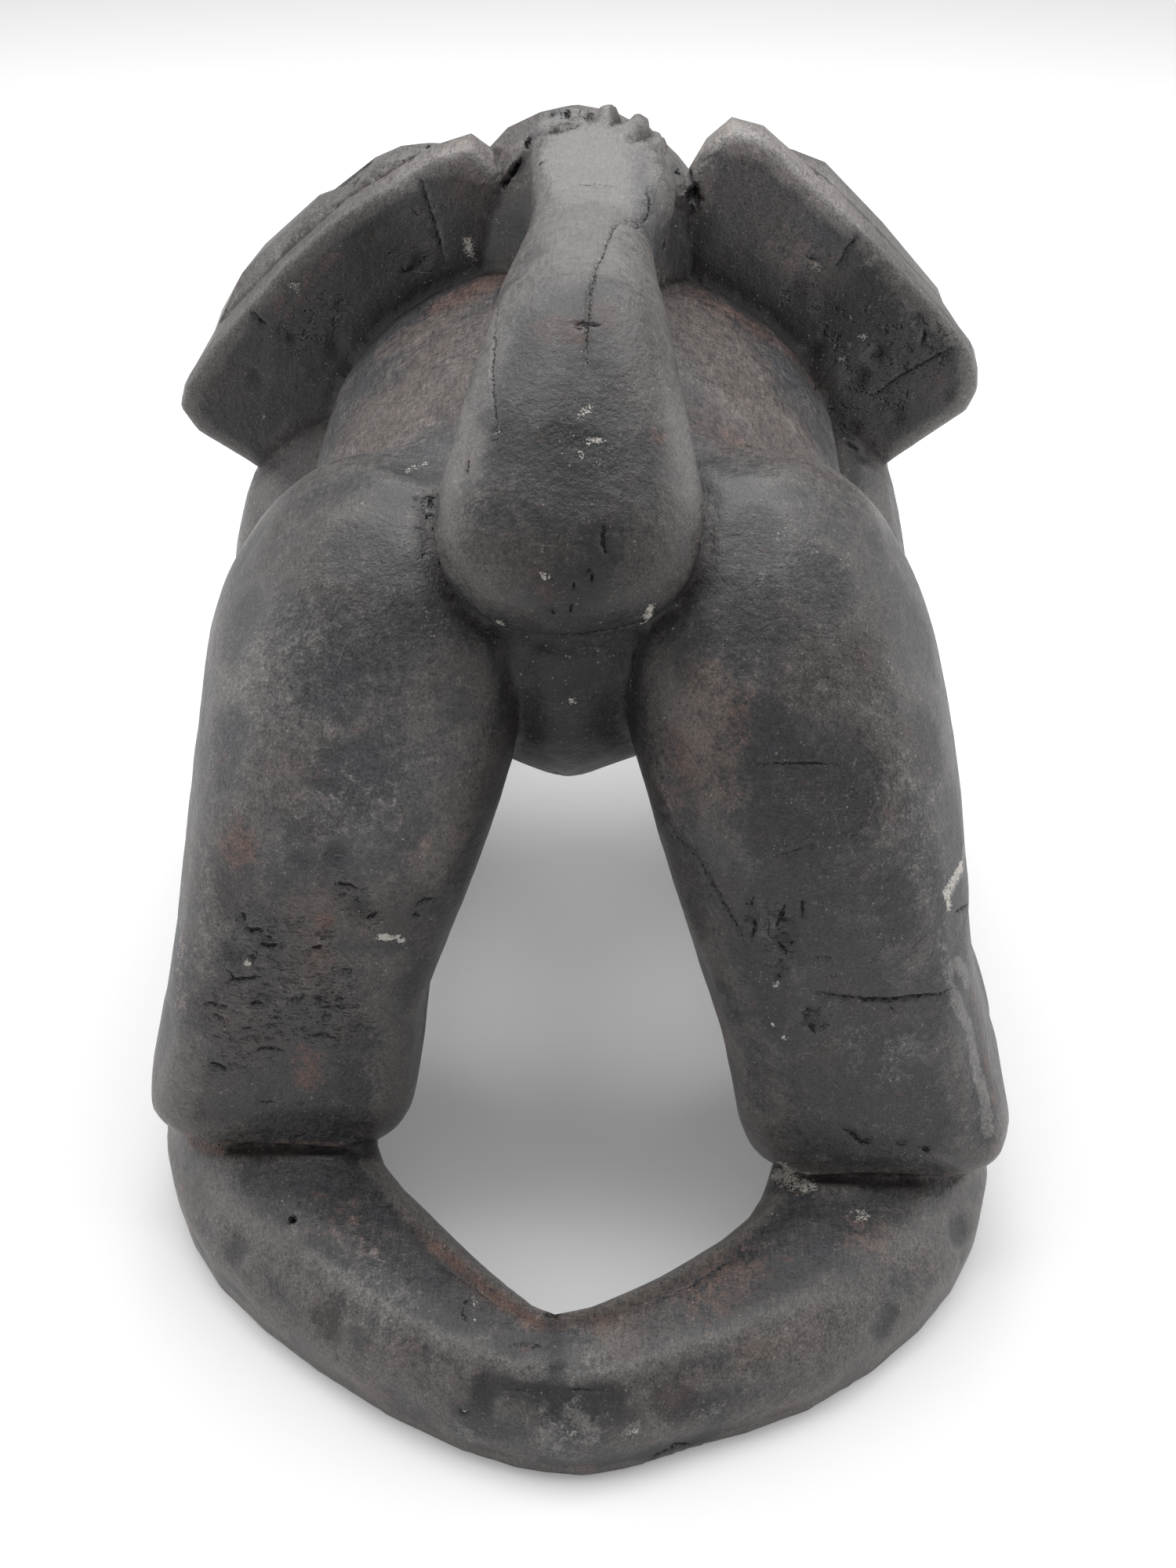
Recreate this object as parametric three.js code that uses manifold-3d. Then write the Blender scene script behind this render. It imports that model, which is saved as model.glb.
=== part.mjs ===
// A carved hardwood elephant that stands on the ring it is cut from, one log, stained nearly black.
// It has slab ears, a heavy tail curled forward along the spine and a trunk hanging down in front.
// Millimetres, +Z up. The elephant faces +Y, and left is -X, as it is seen from behind.
import * as THREE from "three";
import { mergeVertices } from "three/addons/utils/BufferGeometryUtils.js";
import Module from "manifold-3d";

const wasm = await Module();
wasm.setup();

// Driving dimensions. Y is counted from the rear tip of the ring.
const RING_HEIGHT = 42;
const FRONT_FOOT_Y = 384; // middle of the front feet
const BELLY_HEIGHT = 124; // lowest line of the belly
const CREST_HEIGHT = 367; // rim of the tail's tuft, the highest point
const EAR_Y = 396; // back face of the ears
const EAR_THICK = 24;
const LEFT = -1;
const RIGHT = 1;

// A closed mesh as a solid, turned the right way out.
function solid(geometry) {
  const bare = new THREE.BufferGeometry();
  const loose = geometry.index ? geometry.toNonIndexed() : geometry;
  bare.setAttribute("position", loose.getAttribute("position"));
  const merged = mergeVertices(bare, 1e-3);
  const vertProperties = new Float32Array(merged.attributes.position.array);
  const corners = Array.from(merged.index.array);
  const triVerts = [];
  for (let i = 0; i < corners.length; i += 3) {
    const [a, b, c] = corners.slice(i, i + 3);
    if (a !== b && b !== c && c !== a) triVerts.push(a, b, c);
  }
  const build = (order) =>
    new wasm.Manifold(new wasm.Mesh({ numProp: 3, vertProperties, triVerts: new Uint32Array(order) }));
  const made = build(triVerts);
  return made.volume() < 0 ? build(triVerts.toReversed()) : made;
}

// A solid as a three.js geometry.
function geometryOf(body) {
  const mesh = body.getMesh();
  const geometry = new THREE.BufferGeometry();
  const positions = new Float32Array(mesh.numVert * 3);
  for (let i = 0; i < mesh.numVert; i += 1) {
    positions.set(mesh.vertProperties.slice(i * mesh.numProp, i * mesh.numProp + 3), i * 3);
  }
  geometry.setAttribute("position", new THREE.BufferAttribute(positions, 3));
  geometry.setIndex(new THREE.BufferAttribute(new Uint32Array(mesh.triVerts), 1));
  geometry.computeVertexNormals();
  return geometry;
}

const superPower = (value, square) => Math.sign(value) * Math.abs(value) ** (2 / square);

// A swelling form carved along a path: a sphere whose rings are laid on the stations.
// A station has its centre, its half width in X, its half depth ahead and behind, and how square
// its section is ahead and behind (2 is an ellipse). Blunt 2 is an egg's end, more is a flatter one.
// Facing gives the direction of "ahead" for the path's tangent at a station.
function form({ stations, facing, around = 24, along = 16, blunt = 2 }) {
  const curve = (pick) => new THREE.CatmullRomCurve3(stations.map((s) => new THREE.Vector3(...pick(s))));
  const centres = curve((s) => s.at);
  const sizes = curve((s) => [s.wide, s.ahead, s.behind]);
  const squares = curve((s) => [s.square ?? 2, s.squareBehind ?? s.square ?? 2, 0]);
  const geometry = new THREE.SphereGeometry(1, around, along);
  const position = geometry.getAttribute("position");
  for (let i = 0; i < position.count; i += 1) {
    const rise = THREE.MathUtils.clamp(position.getY(i), -1, 1);
    const t = (1 - rise) / 2;
    const fullness = Math.sqrt(1 - Math.abs(rise) ** blunt);
    const angle = (((i % (around + 1)) % around) * 2 * Math.PI) / around;
    const centre = centres.getPoint(t);
    const size = sizes.getPoint(t);
    const square = squares.getPoint(t);
    const isAhead = Math.sin(angle) >= 0;
    const power = isAhead ? square.x : square.y;
    const sideways = superPower(Math.cos(angle), power) * size.x * fullness;
    const forwards = superPower(Math.sin(angle), power) * (isAhead ? size.y : size.z) * fullness;
    const ahead = facing(centres.getTangent(THREE.MathUtils.clamp(t, 0.001, 0.999)));
    centre.addScaledVector(ahead, forwards);
    centre.x += sideways;
    position.setXYZ(i, centre.x, centre.y, centre.z);
  }
  return solid(geometry);
}

const levelForward = () => new THREE.Vector3(0, 1, 0); // sections of a standing leg lie level
const upright = () => new THREE.Vector3(0, 0, 1); // sections of the barrel and the head stand upright
const squareToPath = (tangent) => new THREE.Vector3(0, -tangent.z, tangent.y).normalize();

// Places round the ring in plan: its outer edge, and the place facing it on the edge of the hole.
// The rear is bent a little to the right, and the hole comes to a kinked point there.
const RING_PLAN = [
  { outer: [8, 0], hole: [-5, 46] },
  { outer: [47, 13], hole: [22, 58] },
  { outer: [91, 31], hole: [44, 74] },
  { outer: [136, 69], hole: [66, 95] },
  { outer: [161, 110], hole: [76, 121] },
  { outer: [171, 160], hole: [84, 160] },
  { outer: [171, 232], hole: [86, 232] },
  { outer: [171, 304], hole: [86, 304] },
  { outer: [171, 376], hole: [86, 370] },
  { outer: [166, 434], hole: [80, 428] },
  { outer: [146, 484], hole: [62, 470] },
  { outer: [102, 526], hole: [38, 498] },
  { outer: [52, 549], hole: [16, 512] },
  { outer: [0, 556], hole: [0, 516] },
  { outer: [-52, 549], hole: [-16, 512] },
  { outer: [-102, 526], hole: [-38, 498] },
  { outer: [-146, 484], hole: [-62, 470] },
  { outer: [-166, 434], hole: [-80, 428] },
  { outer: [-171, 376], hole: [-86, 370] },
  { outer: [-171, 304], hole: [-86, 304] },
  { outer: [-171, 232], hole: [-86, 232] },
  { outer: [-171, 162], hole: [-82, 160] },
  { outer: [-161, 124], hole: [-71, 119] },
  { outer: [-139, 85], hole: [-50, 93] },
  { outer: [-94, 44], hole: [-32, 72] },
  { outer: [-37, 10], hole: [-17, 56] },
];

// The ring's section: the share of the way from the hole's edge to the outer edge, and the height.
const RING_SECTION = [
  [0.02, 0],
  [0.0, 20],
  [0.04, RING_HEIGHT - 7],
  [0.14, RING_HEIGHT - 1],
  [0.45, RING_HEIGHT + 1],
  [0.74, RING_HEIGHT - 3],
  [0.91, RING_HEIGHT - 13],
  [1.0, 17],
  [0.985, 0],
];

// The ring the elephant stands on: straight under the feet, a round cap at each end.
function ring() {
  const loop = (key) => {
    const points = RING_PLAN.map((place) => new THREE.Vector3(...place[key], 0));
    return new THREE.CatmullRomCurve3(points, true, "centripetal");
  };
  const outer = loop("outer");
  const hole = loop("hole");
  const around = RING_PLAN.length * 2;
  const geometry = new THREE.TorusGeometry(2, 1, RING_SECTION.length, around);
  const position = geometry.getAttribute("position");
  for (let i = 0; i < position.count; i += 1) {
    const [share, height] = RING_SECTION[Math.floor(i / (around + 1)) % RING_SECTION.length];
    const t = ((i % (around + 1)) % around) / around;
    const spot = hole.getPoint(t).lerp(outer.getPoint(t), share);
    position.setXYZ(i, spot.x, spot.y, height);
  }
  return solid(geometry);
}

// A leg from rows of [outer X, inner X, rear Y, front Y, height, squareness].
function leg(side, rows, detail) {
  const stations = rows.map(([outer, inner, rear, front, height, square]) => ({
    at: [(side * (outer + inner)) / 2, (rear + front) / 2, height],
    wide: (outer - inner) / 2,
    ahead: (front - rear) / 2,
    behind: (front - rear) / 2,
    square,
  }));
  return form({ facing: levelForward, blunt: 12, stations, ...detail });
}

// A rear leg: a broad haunch that narrows and splays down to a square foot with a chamfered sole.
// The right foot stands a little further back than the left.
function rearLeg(side) {
  const rows = {
    [LEFT]: [
      [155, 76, 128, 222, 28, 6],
      [161, 70, 121, 228, 41, 6],
      [168, 62, 113, 235, 56, 5.5],
      [165, 61, 114, 235, 72, 5],
      [160, 59, 116, 235, 94, 4.2],
      [153, 46, 118, 238, 128, 3.3],
      [147, 31, 122, 248, 166, 2.7],
      [142, 20, 128, 262, 200, 2.4],
      [137, 12, 140, 274, 230, 2.3],
      [129, 8, 154, 280, 252, 2.3],
      [112, 10, 178, 272, 287, 2.3],
    ],
    [RIGHT]: [
      [160, 79, 117, 219, 28, 6],
      [165, 73, 110, 225, 41, 6],
      [171, 65, 103, 231, 56, 5.5],
      [167, 62, 104, 231, 72, 5],
      [159, 57, 107, 232, 94, 4.2],
      [151, 45, 110, 238, 128, 3.3],
      [147, 32, 116, 248, 166, 2.7],
      [141, 20, 124, 262, 200, 2.4],
      [133, 12, 137, 274, 230, 2.3],
      [124, 8, 152, 280, 253, 2.3],
      [108, 10, 178, 272, 290, 2.3],
    ],
  };
  return leg(side, rows[side], { around: 26, along: 23 });
}

// A front leg, plainer: its shoulder stands out under the ear.
function frontLeg(side) {
  const rows = {
    [LEFT]: [
      [164, 80, FRONT_FOOT_Y - 44, FRONT_FOOT_Y + 48, 25, 4.5],
      [170, 78, FRONT_FOOT_Y - 48, FRONT_FOOT_Y + 54, 58, 4.5],
      [168, 74, FRONT_FOOT_Y - 50, FRONT_FOOT_Y + 54, 92, 3.2],
      [167, 56, FRONT_FOOT_Y - 48, FRONT_FOOT_Y + 54, 140, 2.7],
      [160, 44, FRONT_FOOT_Y - 32, FRONT_FOOT_Y + 58, 186, 2.3],
      [134, 30, FRONT_FOOT_Y + 6, FRONT_FOOT_Y + 60, 228, 2],
      [112, 24, FRONT_FOOT_Y + 14, FRONT_FOOT_Y + 54, 250, 2],
    ],
    [RIGHT]: [
      [160, 78, FRONT_FOOT_Y - 44, FRONT_FOOT_Y + 48, 25, 4.5],
      [164, 76, FRONT_FOOT_Y - 48, FRONT_FOOT_Y + 54, 58, 4.5],
      [157, 70, FRONT_FOOT_Y - 50, FRONT_FOOT_Y + 54, 92, 3.2],
      [150, 54, FRONT_FOOT_Y - 48, FRONT_FOOT_Y + 54, 140, 2.7],
      [142, 42, FRONT_FOOT_Y - 32, FRONT_FOOT_Y + 58, 186, 2.3],
      [126, 30, FRONT_FOOT_Y + 6, FRONT_FOOT_Y + 60, 228, 2],
      [108, 24, FRONT_FOOT_Y + 14, FRONT_FOOT_Y + 54, 250, 2],
    ],
  };
  return leg(side, rows[side], { around: 20, along: 16 });
}

// The barrel of the body, blunt behind, with a keel under the rump that rounds out to the belly.
function barrel() {
  const station = (y, wide, top, bottom, keel) => {
    const middle = THREE.MathUtils.lerp(bottom, top, 0.46);
    return {
      at: [-4, y, middle],
      wide,
      ahead: top - middle,
      behind: middle - bottom,
      square: 2,
      squareBehind: keel,
    };
  };
  return form({
    facing: upright,
    around: 32,
    along: 18,
    blunt: 7,
    stations: [
      station(166, 54, 284, 188, 1.06),
      station(200, 80, 290, 164, 1.2),
      station(250, 100, 297, 137, 1.5),
      station(305, 111, 302, BELLY_HEIGHT, 1.6),
      station(360, 116, 303, BELLY_HEIGHT, 1.7),
      station(410, 115, 303, 130, 1.9),
      station(460, 96, 292, 150, 2),
    ],
  });
}

// The tail springs from between the haunches as a swollen root, bends forward over the rump and
// lies along the spine, narrowing to its neck. The root hangs free of the rump at its lower end.
function tail() {
  const station = (x, y, z, wide, out, into, square) => ({
    at: [x, y, z],
    wide,
    ahead: out,
    behind: into,
    square,
  });
  return form({
    facing: squareToPath,
    around: 26,
    along: 24,
    blunt: 12,
    stations: [
      station(-2, 188, 248, 40, 34, 26, 2.5),
      station(-2, 187, 277, 48, 38, 30, 2.5),
      station(-1, 197, 302, 43, 23, 34, 2.4),
      station(-1, 216, 318, 38, 21, 34, 2.4),
      station(0, 245, 326, 33, 26, 32, 2.4),
      station(0, 285, 327, 29, 25, 32, 2.5),
      station(2, 330, 328, 24.5, 24, 32, 2.8),
      station(5, 366, 334, 28, 25, 36, 3),
      station(5, 398, 342, 31, 22, 36, 2.8),
    ],
  });
}

// The tuft at the tail's end: a fan between the ears, rising to a rim that is cut into strands of hair.
const TUFT_NECK = { y: 328, height: 351 };
const TUFT_RIM_Y = 398;
function tuft() {
  const outline = [
    [-17, 326], [-20, 344], [-23, 360], [-23, 374], [-19, 384], [-12, 391], [-2, 396],
    [6, 401], [15, 397], [23, 390], [28, 378], [33, 364], [35, 350], [31, 338], [26, 322],
  ];
  const THICK = 24;
  const ROUND = 7;
  const curve = new THREE.SplineCurve(outline.map((place) => new THREE.Vector2(...place)));
  const geometry = new THREE.ExtrudeGeometry(new THREE.Shape(curve.getPoints(30)), {
    depth: THICK - 2 * ROUND,
    bevelThickness: ROUND,
    bevelSize: ROUND,
    bevelOffset: -ROUND,
    bevelSegments: 2,
  });
  geometry.translate(0, 0, TUFT_NECK.height - THICK + ROUND);
  const rise = (CREST_HEIGHT - TUFT_NECK.height) / (TUFT_RIM_Y - TUFT_NECK.y);
  const slope = new THREE.Matrix4().makeShear(0, 0, 0, rise, 0, 0);
  const lift = new THREE.Matrix4().makeTranslation(0, 0, -rise * TUFT_NECK.y);
  return solid(geometry.applyMatrix4(slope).applyMatrix4(lift));
}

// The cuts between the strands of hair, each from a place on top of the tuft out over its rim. The
// two outermost lie in the corners between the tuft and the ears.
function tuftNotches() {
  const CUTS = [
    { from: [-36, 390, 336], to: [-27, 396, 350], wide: 3.4 },
    { from: [-23, 378, 358], to: [-31, 384, 354], wide: 3.2 },
    { from: [-13, 378, 365], to: [-20, 386, 360], wide: 2.6 },
    { from: [-8, 383, 366], to: [-13, 394, 361], wide: 2.4 },
    { from: [1, 386, 367], to: [-1, 400, 361], wide: 2.8 },
    { from: [11, 384, 367], to: [14, 398, 361], wide: 3.2 },
    { from: [18, 373, 364], to: [27, 382, 359], wide: 3.2 },
    { from: [33, 392, 346], to: [42, 396, 323], wide: 5.5 },
  ];
  const DEEP = 6.5;
  return CUTS.map(({ from, to, wide }) => {
    const start = new THREE.Vector3(...from);
    const run = new THREE.Vector3(...to).sub(start);
    const cutter = new THREE.SphereGeometry(1, 8, 6);
    cutter.scale(wide, run.length() * 0.6, DEEP);
    const turn = new THREE.Quaternion().setFromUnitVectors(new THREE.Vector3(0, 1, 0), run.clone().normalize());
    cutter.applyQuaternion(turn);
    cutter.translate(...start.addScaledVector(run, 0.5).toArray());
    return solid(cutter);
  });
}

// The skull: its nape rises under the tuft and its crown shows beyond it, then the brow falls away
// to the trunk, which hangs down to the front of the ring.
function head() {
  const skull = form({
    facing: upright,
    around: 24,
    along: 16,
    blunt: 3.4,
    stations: [
      { at: [4, 344, 308], wide: 20, ahead: 30, behind: 30, square: 3 },
      { at: [5, 374, 298], wide: 27, ahead: 46, behind: 56, square: 3 },
      { at: [-9, 424, 274], wide: 66, ahead: 85, behind: 76, square: 1.75, squareBehind: 2.2 },
      { at: [-2, 462, 268], wide: 62, ahead: 78, behind: 70, square: 1.9, squareBehind: 2.2 },
      { at: [0, 498, 256], wide: 50, ahead: 62, behind: 54, square: 2, squareBehind: 2.2 },
      { at: [0, 526, 242], wide: 36, ahead: 46, behind: 42, square: 2 },
    ],
  });
  const trunk = form({
    facing: squareToPath,
    around: 18,
    along: 18,
    blunt: 6,
    stations: [
      { at: [0, 478, 268], wide: 40, ahead: 34, behind: 34, square: 2.2 },
      { at: [0, 516, 240], wide: 34, ahead: 30, behind: 30, square: 2.2 },
      { at: [0, 540, 196], wide: 29, ahead: 25, behind: 25, square: 2.2 },
      { at: [0, 546, 146], wide: 25, ahead: 22, behind: 22, square: 2.2 },
      { at: [0, 542, 98], wide: 22, ahead: 19, behind: 19, square: 2.3 },
      { at: [0, 536, 60], wide: 20, ahead: 17, behind: 17, square: 2.4 },
      { at: [0, 534, 30], wide: 20, ahead: 15, behind: 15, square: 2.5 },
    ],
  });
  return skull.add(trunk);
}

// A short tusk beside the trunk's root.
function tusk(side) {
  return form({
    facing: squareToPath,
    around: 12,
    along: 10,
    blunt: 3,
    stations: [
      { at: [side * 34, 486, 232], wide: 12, ahead: 12, behind: 12 },
      { at: [side * 42, 524, 206], wide: 11, ahead: 11, behind: 11 },
      { at: [side * 46, 558, 200], wide: 8, ahead: 8, behind: 8 },
      { at: [side * 45, 576, 206], wide: 4, ahead: 4, behind: 4 },
    ],
  });
}

// An upright slab with rounded edges, from its outline in X and Z and its back and front in Y.
function slab(outline, back, front, round) {
  const shape = new THREE.Shape(outline.map(([x, z]) => new THREE.Vector2(x, z)));
  const geometry = new THREE.ExtrudeGeometry(shape, {
    depth: front - back - 2 * round,
    bevelThickness: round,
    bevelSize: round,
    bevelOffset: -round,
    bevelSegments: 2,
  });
  geometry.rotateX(Math.PI / 2);
  geometry.translate(0, front - round, 0);
  return solid(geometry);
}

// An ear: a slab cut flat behind, and a leaf with a lobed edge that stands out beyond it in front.
function ear(side) {
  const BACKS = {
    [LEFT]: [
      [-20, 270], [-32, 326], [-41, 341], [-50, 350], [-66, 345], [-90, 330], [-110, 318], [-134, 297],
      [-151, 279], [-169, 260], [-182, 242], [-187, 229], [-180, 217], [-151, 197], [-120, 188],
    ],
    [RIGHT]: [
      [20, 270], [100, 194], [136, 204], [156, 220], [170, 231], [174, 241], [173, 251], [169, 261],
      [160, 272], [148, 285], [117, 316], [90, 339], [78, 350], [69, 355], [59, 358], [49, 349], [41, 334],
    ],
  };
  const LEAVES = {
    [LEFT]: [
      [-60, 338], [-71, 339], [-86, 337], [-97, 331], [-104, 321], [-112, 319], [-121, 315], [-130, 308],
      [-149, 291], [-164, 272], [-174, 252], [-179, 236], [-170, 212], [-140, 192], [-90, 190], [-30, 270],
    ],
    [RIGHT]: [
      [30, 270], [90, 190], [130, 192], [158, 212], [168, 234], [166, 254], [157, 274], [141, 293],
      [130, 303], [126, 309], [117, 318], [109, 325], [104, 331], [94, 335], [78, 340], [58, 346],
    ],
  };
  const LEAF_THICK = 26;
  const leafBack = EAR_Y + EAR_THICK - 6;
  const back = slab(BACKS[side], EAR_Y, EAR_Y + EAR_THICK, 5);
  return back.add(slab(LEAVES[side], leafBack, leafBack + LEAF_THICK, 5));
}

// Everything above is one piece of wood.
function elephant() {
  const joined = [
    ring(),
    barrel(),
    ...[LEFT, RIGHT].flatMap((side) => [rearLeg(side), frontLeg(side), ear(side), tusk(side)]),
    tail(),
    tuft(),
    head(),
  ].reduce((whole, piece) => whole.add(piece));
  return tuftNotches().reduce((whole, cut) => whole.subtract(cut), joined);
}

const geometry = geometryOf(elephant());
geometry.computeBoundingBox();
const middle = geometry.boundingBox.getCenter(new THREE.Vector3());
geometry.translate(-middle.x, -middle.y, -geometry.boundingBox.min.z);

const darkWood = new THREE.MeshStandardMaterial({ color: 0x3a3836, roughness: 0.62, metalness: 0 });
const figure = new THREE.Mesh(geometry, darkWood);
figure.name = "elephant_on_ring";

const group = new THREE.Group();
group.add(figure);

export default group;
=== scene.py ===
import math

import bmesh
import bpy
import numpy as np
from mathutils import Euler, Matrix, Vector, kdtree, noise
from mathutils.bvhtree import BVHTree


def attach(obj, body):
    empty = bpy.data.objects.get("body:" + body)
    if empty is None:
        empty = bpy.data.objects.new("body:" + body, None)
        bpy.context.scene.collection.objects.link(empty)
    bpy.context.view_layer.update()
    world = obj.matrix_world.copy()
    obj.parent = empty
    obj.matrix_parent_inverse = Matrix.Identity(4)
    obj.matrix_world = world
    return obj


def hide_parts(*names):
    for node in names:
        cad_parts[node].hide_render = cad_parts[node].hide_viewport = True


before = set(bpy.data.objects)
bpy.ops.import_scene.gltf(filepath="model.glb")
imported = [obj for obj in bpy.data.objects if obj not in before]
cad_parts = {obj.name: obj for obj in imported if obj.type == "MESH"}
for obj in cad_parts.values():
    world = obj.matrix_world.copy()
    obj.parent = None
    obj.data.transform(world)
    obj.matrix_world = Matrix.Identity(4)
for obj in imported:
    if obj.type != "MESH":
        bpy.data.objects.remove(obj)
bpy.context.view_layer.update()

# The camera stands behind the elephant and looks down on it, where the solid's outline met the
# photograph's best. It is made first because marks on the wood are laid where it sees them.
PHOTO_WIDE = 1500
PHOTO_HIGH = 2000
FOCAL = 2600  # in the photograph's pixels
SENSOR = 36.0
EYE = Vector((0.028, -0.741, 0.620))
LOOK_DOWN = math.radians(35)
TURN_LEFT = math.radians(1.5)

camera_data = bpy.data.cameras.new("camera")
camera_data.sensor_width = SENSOR
camera_data.lens = FOCAL / PHOTO_HIGH * SENSOR
camera = bpy.data.objects.new("camera", camera_data)
camera.location = EYE
camera.rotation_euler = Euler((math.pi / 2 - LOOK_DOWN, 0, TURN_LEFT))
bpy.context.scene.collection.objects.link(camera)
bpy.context.scene.camera = camera
camera_turn = camera.rotation_euler.to_matrix()

# The elephant and its ring are one piece of dense hardwood, cut from a single log that lies along
# the figure, so the backs of the legs and ears are end grain. It was shaped with an adze and a
# knife, stained nearly black and worn by handling, and its end grain has checked in drying.
MM = 0.001
BROAD_SKIN = 4.5 * MM  # spacing of the skin that the broad forms are worked on
FINE_SKIN = 2.1 * MM  # spacing of the skin that takes the edges and the marks
HARD_ANGLE = math.radians(31)
HARD_REACH = 4 * MM  # within this of a hard edge the wood isn't smoothed
SOFT_REACH = 12 * MM  # and beyond this it is smoothed fully

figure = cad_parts["elephant_on_ring"]
shell = bmesh.new()
shell.from_mesh(figure.data)
bmesh.ops.remove_doubles(shell, verts=shell.verts, dist=0.02 * MM)


def tree_of(places):
    """A tree that finds the nearest of some places."""
    tree = kdtree.KDTree(len(places))
    for index, place in enumerate(places):
        tree.insert(place, index)
    tree.balance()
    return tree


class Arris:
    """The hard edges of one kind: places along them, and the direction of each."""

    SPACING = 1.5 * MM

    def __init__(self, edges):
        places = []
        self.ways = []
        for edge in edges:
            start, end = (vert.co for vert in edge.verts)
            steps = max(1, round((end - start).length / self.SPACING))
            places += [start.lerp(end, (step + 0.5) / steps) for step in range(steps)]
            self.ways += [(end - start).normalized()] * steps
        self.tree = tree_of(places)

    def away(self, place):
        return self.tree.find(place)[2]

    def foot(self, place):
        """The place on the nearest edge that is square across from a place."""
        nearest, which, _ = self.tree.find(place)
        return nearest + (Vector(place) - nearest).dot(self.ways[which]) * self.ways[which]


NECK_MIDDLE = 10 * MM
NECK_HALF_WIDE = 36 * MM
NECK_BACK = 10 * MM
NECK_FRONT = 78 * MM
NECK_ABOVE = 318 * MM
HAUNCH_INNER = 38 * MM
HAUNCH_OUTER = 75 * MM
HAUNCH_BACK = -60 * MM
HAUNCH_FRONT = -25 * MM
HAUNCH_ABOVE = 270 * MM


def is_flowing(edge):
    """True where one form runs into another without a step: the tail's neck and its tuft, the
    barrel and the haunches beside the tail."""
    x, y, z = sum((vert.co for vert in edge.verts), Vector()) / 2
    is_neck = abs(x - NECK_MIDDLE) < NECK_HALF_WIDE and NECK_BACK < y < NECK_FRONT
    is_haunch = HAUNCH_INNER < abs(x) < HAUNCH_OUTER and HAUNCH_BACK < y < HAUNCH_FRONT
    return (is_neck and z > NECK_ABOVE) or (is_haunch and z > HAUNCH_ABOVE)


angles = [(edge, edge.calc_face_angle_signed(0)) for edge in shell.edges if not is_flowing(edge)]
ridges = Arris([edge for edge, angle in angles if angle > HARD_ANGLE])
valleys = Arris([edge for edge, angle in angles if angle < -HARD_ANGLE])
solid_surface = BVHTree.FromBMesh(shell)


def slope(u, v):
    """How far to the right and up a pixel of the photograph lies, at a distance of 1."""
    return (u - PHOTO_WIDE / 2) / FOCAL, (PHOTO_HIGH / 2 - v) / FOCAL


def seen_on(wood, u, v):
    """Where the camera sees a pixel of the photograph on a surface."""
    ahead = Vector((*slope(u, v), -1.0))
    return wood.ray_cast(EYE, (camera_turn @ ahead).normalized())[0]


mesh = bpy.data.meshes.new("elephant_carving")
shell.to_mesh(mesh)
shell.free()
carving = bpy.data.objects.new("elephant_carving", mesh)
bpy.context.scene.collection.objects.link(carving)


def worked_mesh():
    """The carving's mesh as its modifiers leave it, and the modifiers taken off."""
    worked = carving.evaluated_get(bpy.context.evaluated_depsgraph_get())
    result = bpy.data.meshes.new_from_object(worked)
    carving.modifiers.clear()
    return result


def even_skin(spacing):
    """A skin of even quads laid over the solid."""
    modifier = carving.modifiers.new("even skin", "REMESH")
    modifier.mode = "VOXEL"
    modifier.voxel_size = spacing
    return worked_mesh()


def soft_step(low, high, value):
    """0 below low, 1 above high and a smooth rise between."""
    share = np.clip((value - low) / (high - low), 0, 1)
    return share * share * (3 - 2 * share)


class Skin:
    """The places, normals and neighbours of a mesh's vertices as arrays."""

    PULL_IN = 0.6
    PUSH_OUT = 0.62

    def __init__(self, skin):
        count = len(skin.vertices)
        self.mesh = skin
        self.place = self.read("vertices", "co", 3, np.float32).reshape(-1, 3).astype(float)
        self.edges = self.read("edges", "vertices", 2, np.int32).reshape(-1, 2)
        self.degree = np.bincount(self.edges.ravel(), minlength=count)[:, None]

    def read(self, layer, key, width, kind):
        values = np.empty(len(getattr(self.mesh, layer)) * width, kind)
        getattr(self.mesh, layer).foreach_get(key, values)
        return values

    def store(self):
        self.mesh.vertices.foreach_set("co", self.place.astype(np.float32).ravel())
        self.mesh.update()

    def normals(self):
        self.store()
        return self.read("vertices", "normal", 3, np.float32).reshape(-1, 3).astype(float)

    def neighbour_mean(self, field):
        start, end = self.edges.T
        total = np.empty_like(field)
        for axis in range(field.shape[1]):
            column = field[:, axis]
            total[:, axis] = np.bincount(start, column[end], len(field))
            total[:, axis] += np.bincount(end, column[start], len(field))
        return total / self.degree

    def smooth(self, share, times):
        """Evens the surface without shrinking it: each pass pulls in, then pushes out."""
        for _ in range(times):
            self.place += self.PULL_IN * share * (self.neighbour_mean(self.place) - self.place)
            self.place -= self.PUSH_OUT * share * (self.neighbour_mean(self.place) - self.place)

    def relax(self, share, times):
        """Draws each vertex towards the middle of its neighbours."""
        for _ in range(times):
            self.place += share * (self.neighbour_mean(self.place) - self.place)

    def distance(self, tree):
        """How far each vertex is from the nearest of a tree's places."""
        return np.array([tree.find(place)[2] for place in self.place])[:, None]

    def noise(self, size, seed):
        """Smooth noise of about -1 to 1 whose waves are about the given size."""
        return np.array([noise.noise(place) for place in self.place / size + seed])[:, None]


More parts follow.
